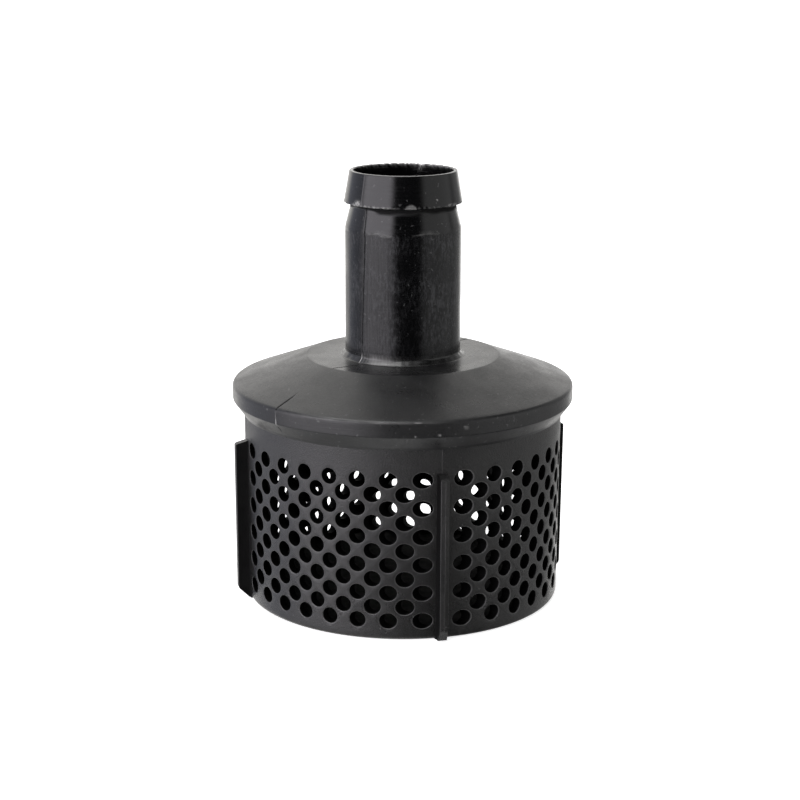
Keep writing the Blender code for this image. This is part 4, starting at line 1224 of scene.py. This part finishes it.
def build_floor():
    """Plain pale floor, which lets a camera under it look through."""
    material, graph = surface("pale_floor")
    shader = graph.node(
        "ShaderNodeBsdfPrincipled",
        None,
        Base_Color=grey(0.85),
        Roughness=0.9,
        Emission_Color=grey(1.0),
        Emission_Strength=0.80,
    )
    clear = graph.node("ShaderNodeBsdfTransparent")
    behind = graph.node("ShaderNodeNewGeometry").outputs["Backfacing"]
    mixed = graph.node("ShaderNodeMixShader", None, i0=behind)
    graph.tree.links.new(shader.outputs[0], mixed.inputs[1])
    graph.tree.links.new(clear.outputs[0], mixed.inputs[2])
    output = graph.node("ShaderNodeOutputMaterial")
    graph.tree.links.new(mixed.outputs[0], output.inputs["Surface"])
    half = FLOOR_HALF
    mesh = bpy.data.meshes.new("floor")
    corners = [(-half, -half, 0.0), (half, -half, 0.0), (half, half, 0.0), (-half, half, 0.0)]
    mesh.from_pydata(corners, [], [(0, 1, 2, 3)])
    mesh.materials.append(material)
    obj = new_object("floor", mesh)
    obj.location.z = -FLOOR_DROP
    obj.visible_glossy = False


def build_studio():
    """World of soft panels round the object, and a plain white backdrop for the camera."""
    world = bpy.data.worlds.new("studio")
    bpy.context.scene.world = world
    world.use_nodes = True
    graph = Graph(world.node_tree)
    direction = graph.node("ShaderNodeTexCoord").outputs["Generated"]

    def along(vector):
        made = graph.node("ShaderNodeVectorMath", {"operation": "DOT_PRODUCT"}, i0=direction, i1=vector)
        return made.outputs["Value"]

    front = along(tuple(outward(CAMERA_AZIMUTH)))
    side = along(tuple(sideways(CAMERA_AZIMUTH)))
    turn = graph.times(graph.math("ARCTAN2", side, front), 180.0 / math.pi)
    rise = graph.times(graph.math("ARCSINE", along((0.0, 0.0, 1.0))), 180.0 / math.pi)
    total = (STUDIO_FILL, STUDIO_FILL, STUDIO_FILL)
    for left, right, low, high, soft_turn, soft_rise, strength, tint in STUDIO_PANELS:
        panel = graph.times(
            graph.ramp(turn, left - soft_turn, left + soft_turn),
            graph.ramp(turn, right - soft_turn, right + soft_turn, 1.0, 0.0),
        )
        panel = graph.times(panel, graph.ramp(rise, low - soft_rise, low + soft_rise))
        panel = graph.times(panel, graph.ramp(rise, high - soft_rise, high + soft_rise, 1.0, 0.0))
        glow = tuple(strength * channel for channel in tint)
        settings = {"operation": "MULTIPLY_ADD"}
        total = graph.node("ShaderNodeVectorMath", settings, i0=panel, i1=glow, i2=total).outputs[0]
    seen = graph.node("ShaderNodeLightPath").outputs["Is Camera Ray"]
    backdrop = graph.mix_colour(seen, total, grey(1.0))
    shader = graph.node("ShaderNodeBackground", None, Color=backdrop, Strength=1.0)
    output = graph.node("ShaderNodeOutputWorld")
    graph.tree.links.new(shader.outputs[0], output.inputs["Surface"])


def build_camera():
    data = bpy.data.cameras.new("camera")
    data.lens = CAMERA_LENS
    data.sensor_width = 36.0
    data.shift_x = CAMERA_SHIFT_X
    data.clip_start = 0.01
    data.clip_end = 60.0
    camera = new_object("camera", data)
    place = outward(CAMERA_AZIMUTH) * CAMERA_DISTANCE
    camera.location = (place[0], place[1], CAMERA_HEIGHT)
    back = Vector(outward(CAMERA_AZIMUTH)) * math.cos(CAMERA_PITCH)
    back.z = -math.sin(CAMERA_PITCH)
    aim = (-back).to_track_quat("-Z", "Y")
    roll = Vector((0.0, 0.0, 1.0))
    camera.rotation_mode = "QUATERNION"
    camera.rotation_quaternion = aim @ Quaternion(roll, CAMERA_ROLL)
    bpy.context.scene.camera = camera


def main():
    basket = basket_plastic()
    plate = plate_plastic()
    seal = rubber()
    steel = metal("stainless_steel_fine", (0.60, 0.60, 0.58), 0.30)
    brass = metal("brass_fine", (0.70, 0.52, 0.25), 0.30)
    build_cap(cap_plastic(), shaft_plastic())
    # Darker copies of the basket's plastic with weaker reflections: painted shade inside the strainer, in its
    # holes and on the ribs' flanks
    bore = dull_shaded_plastic("basket_polyethylene_bore_shade", 0.0005, 0.0011, 1.14)
    flank = dull_shaded_plastic("basket_polyethylene_flank_shade", 0.0012, 0.0025, 1.22)
    build_basket(basket, bore, flank)
    by_slot = {"plate_plastic": plate, "brass": brass, "rubber": seal, "steel": steel}
    for node, body, slot, width in SOFTENED:
        soften(node, body, by_slot[slot], width)
    build_bolt_and_nut(steel)
    build_lock_washer(steel)
    for node in sorted(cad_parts):
        if "_screw_" in node:
            build_screw(node, steel)
    build_floor()
    build_studio()
    build_camera()
    bpy.context.scene.view_settings.view_transform = "Standard"


main()
bpy.context.view_layer.update()
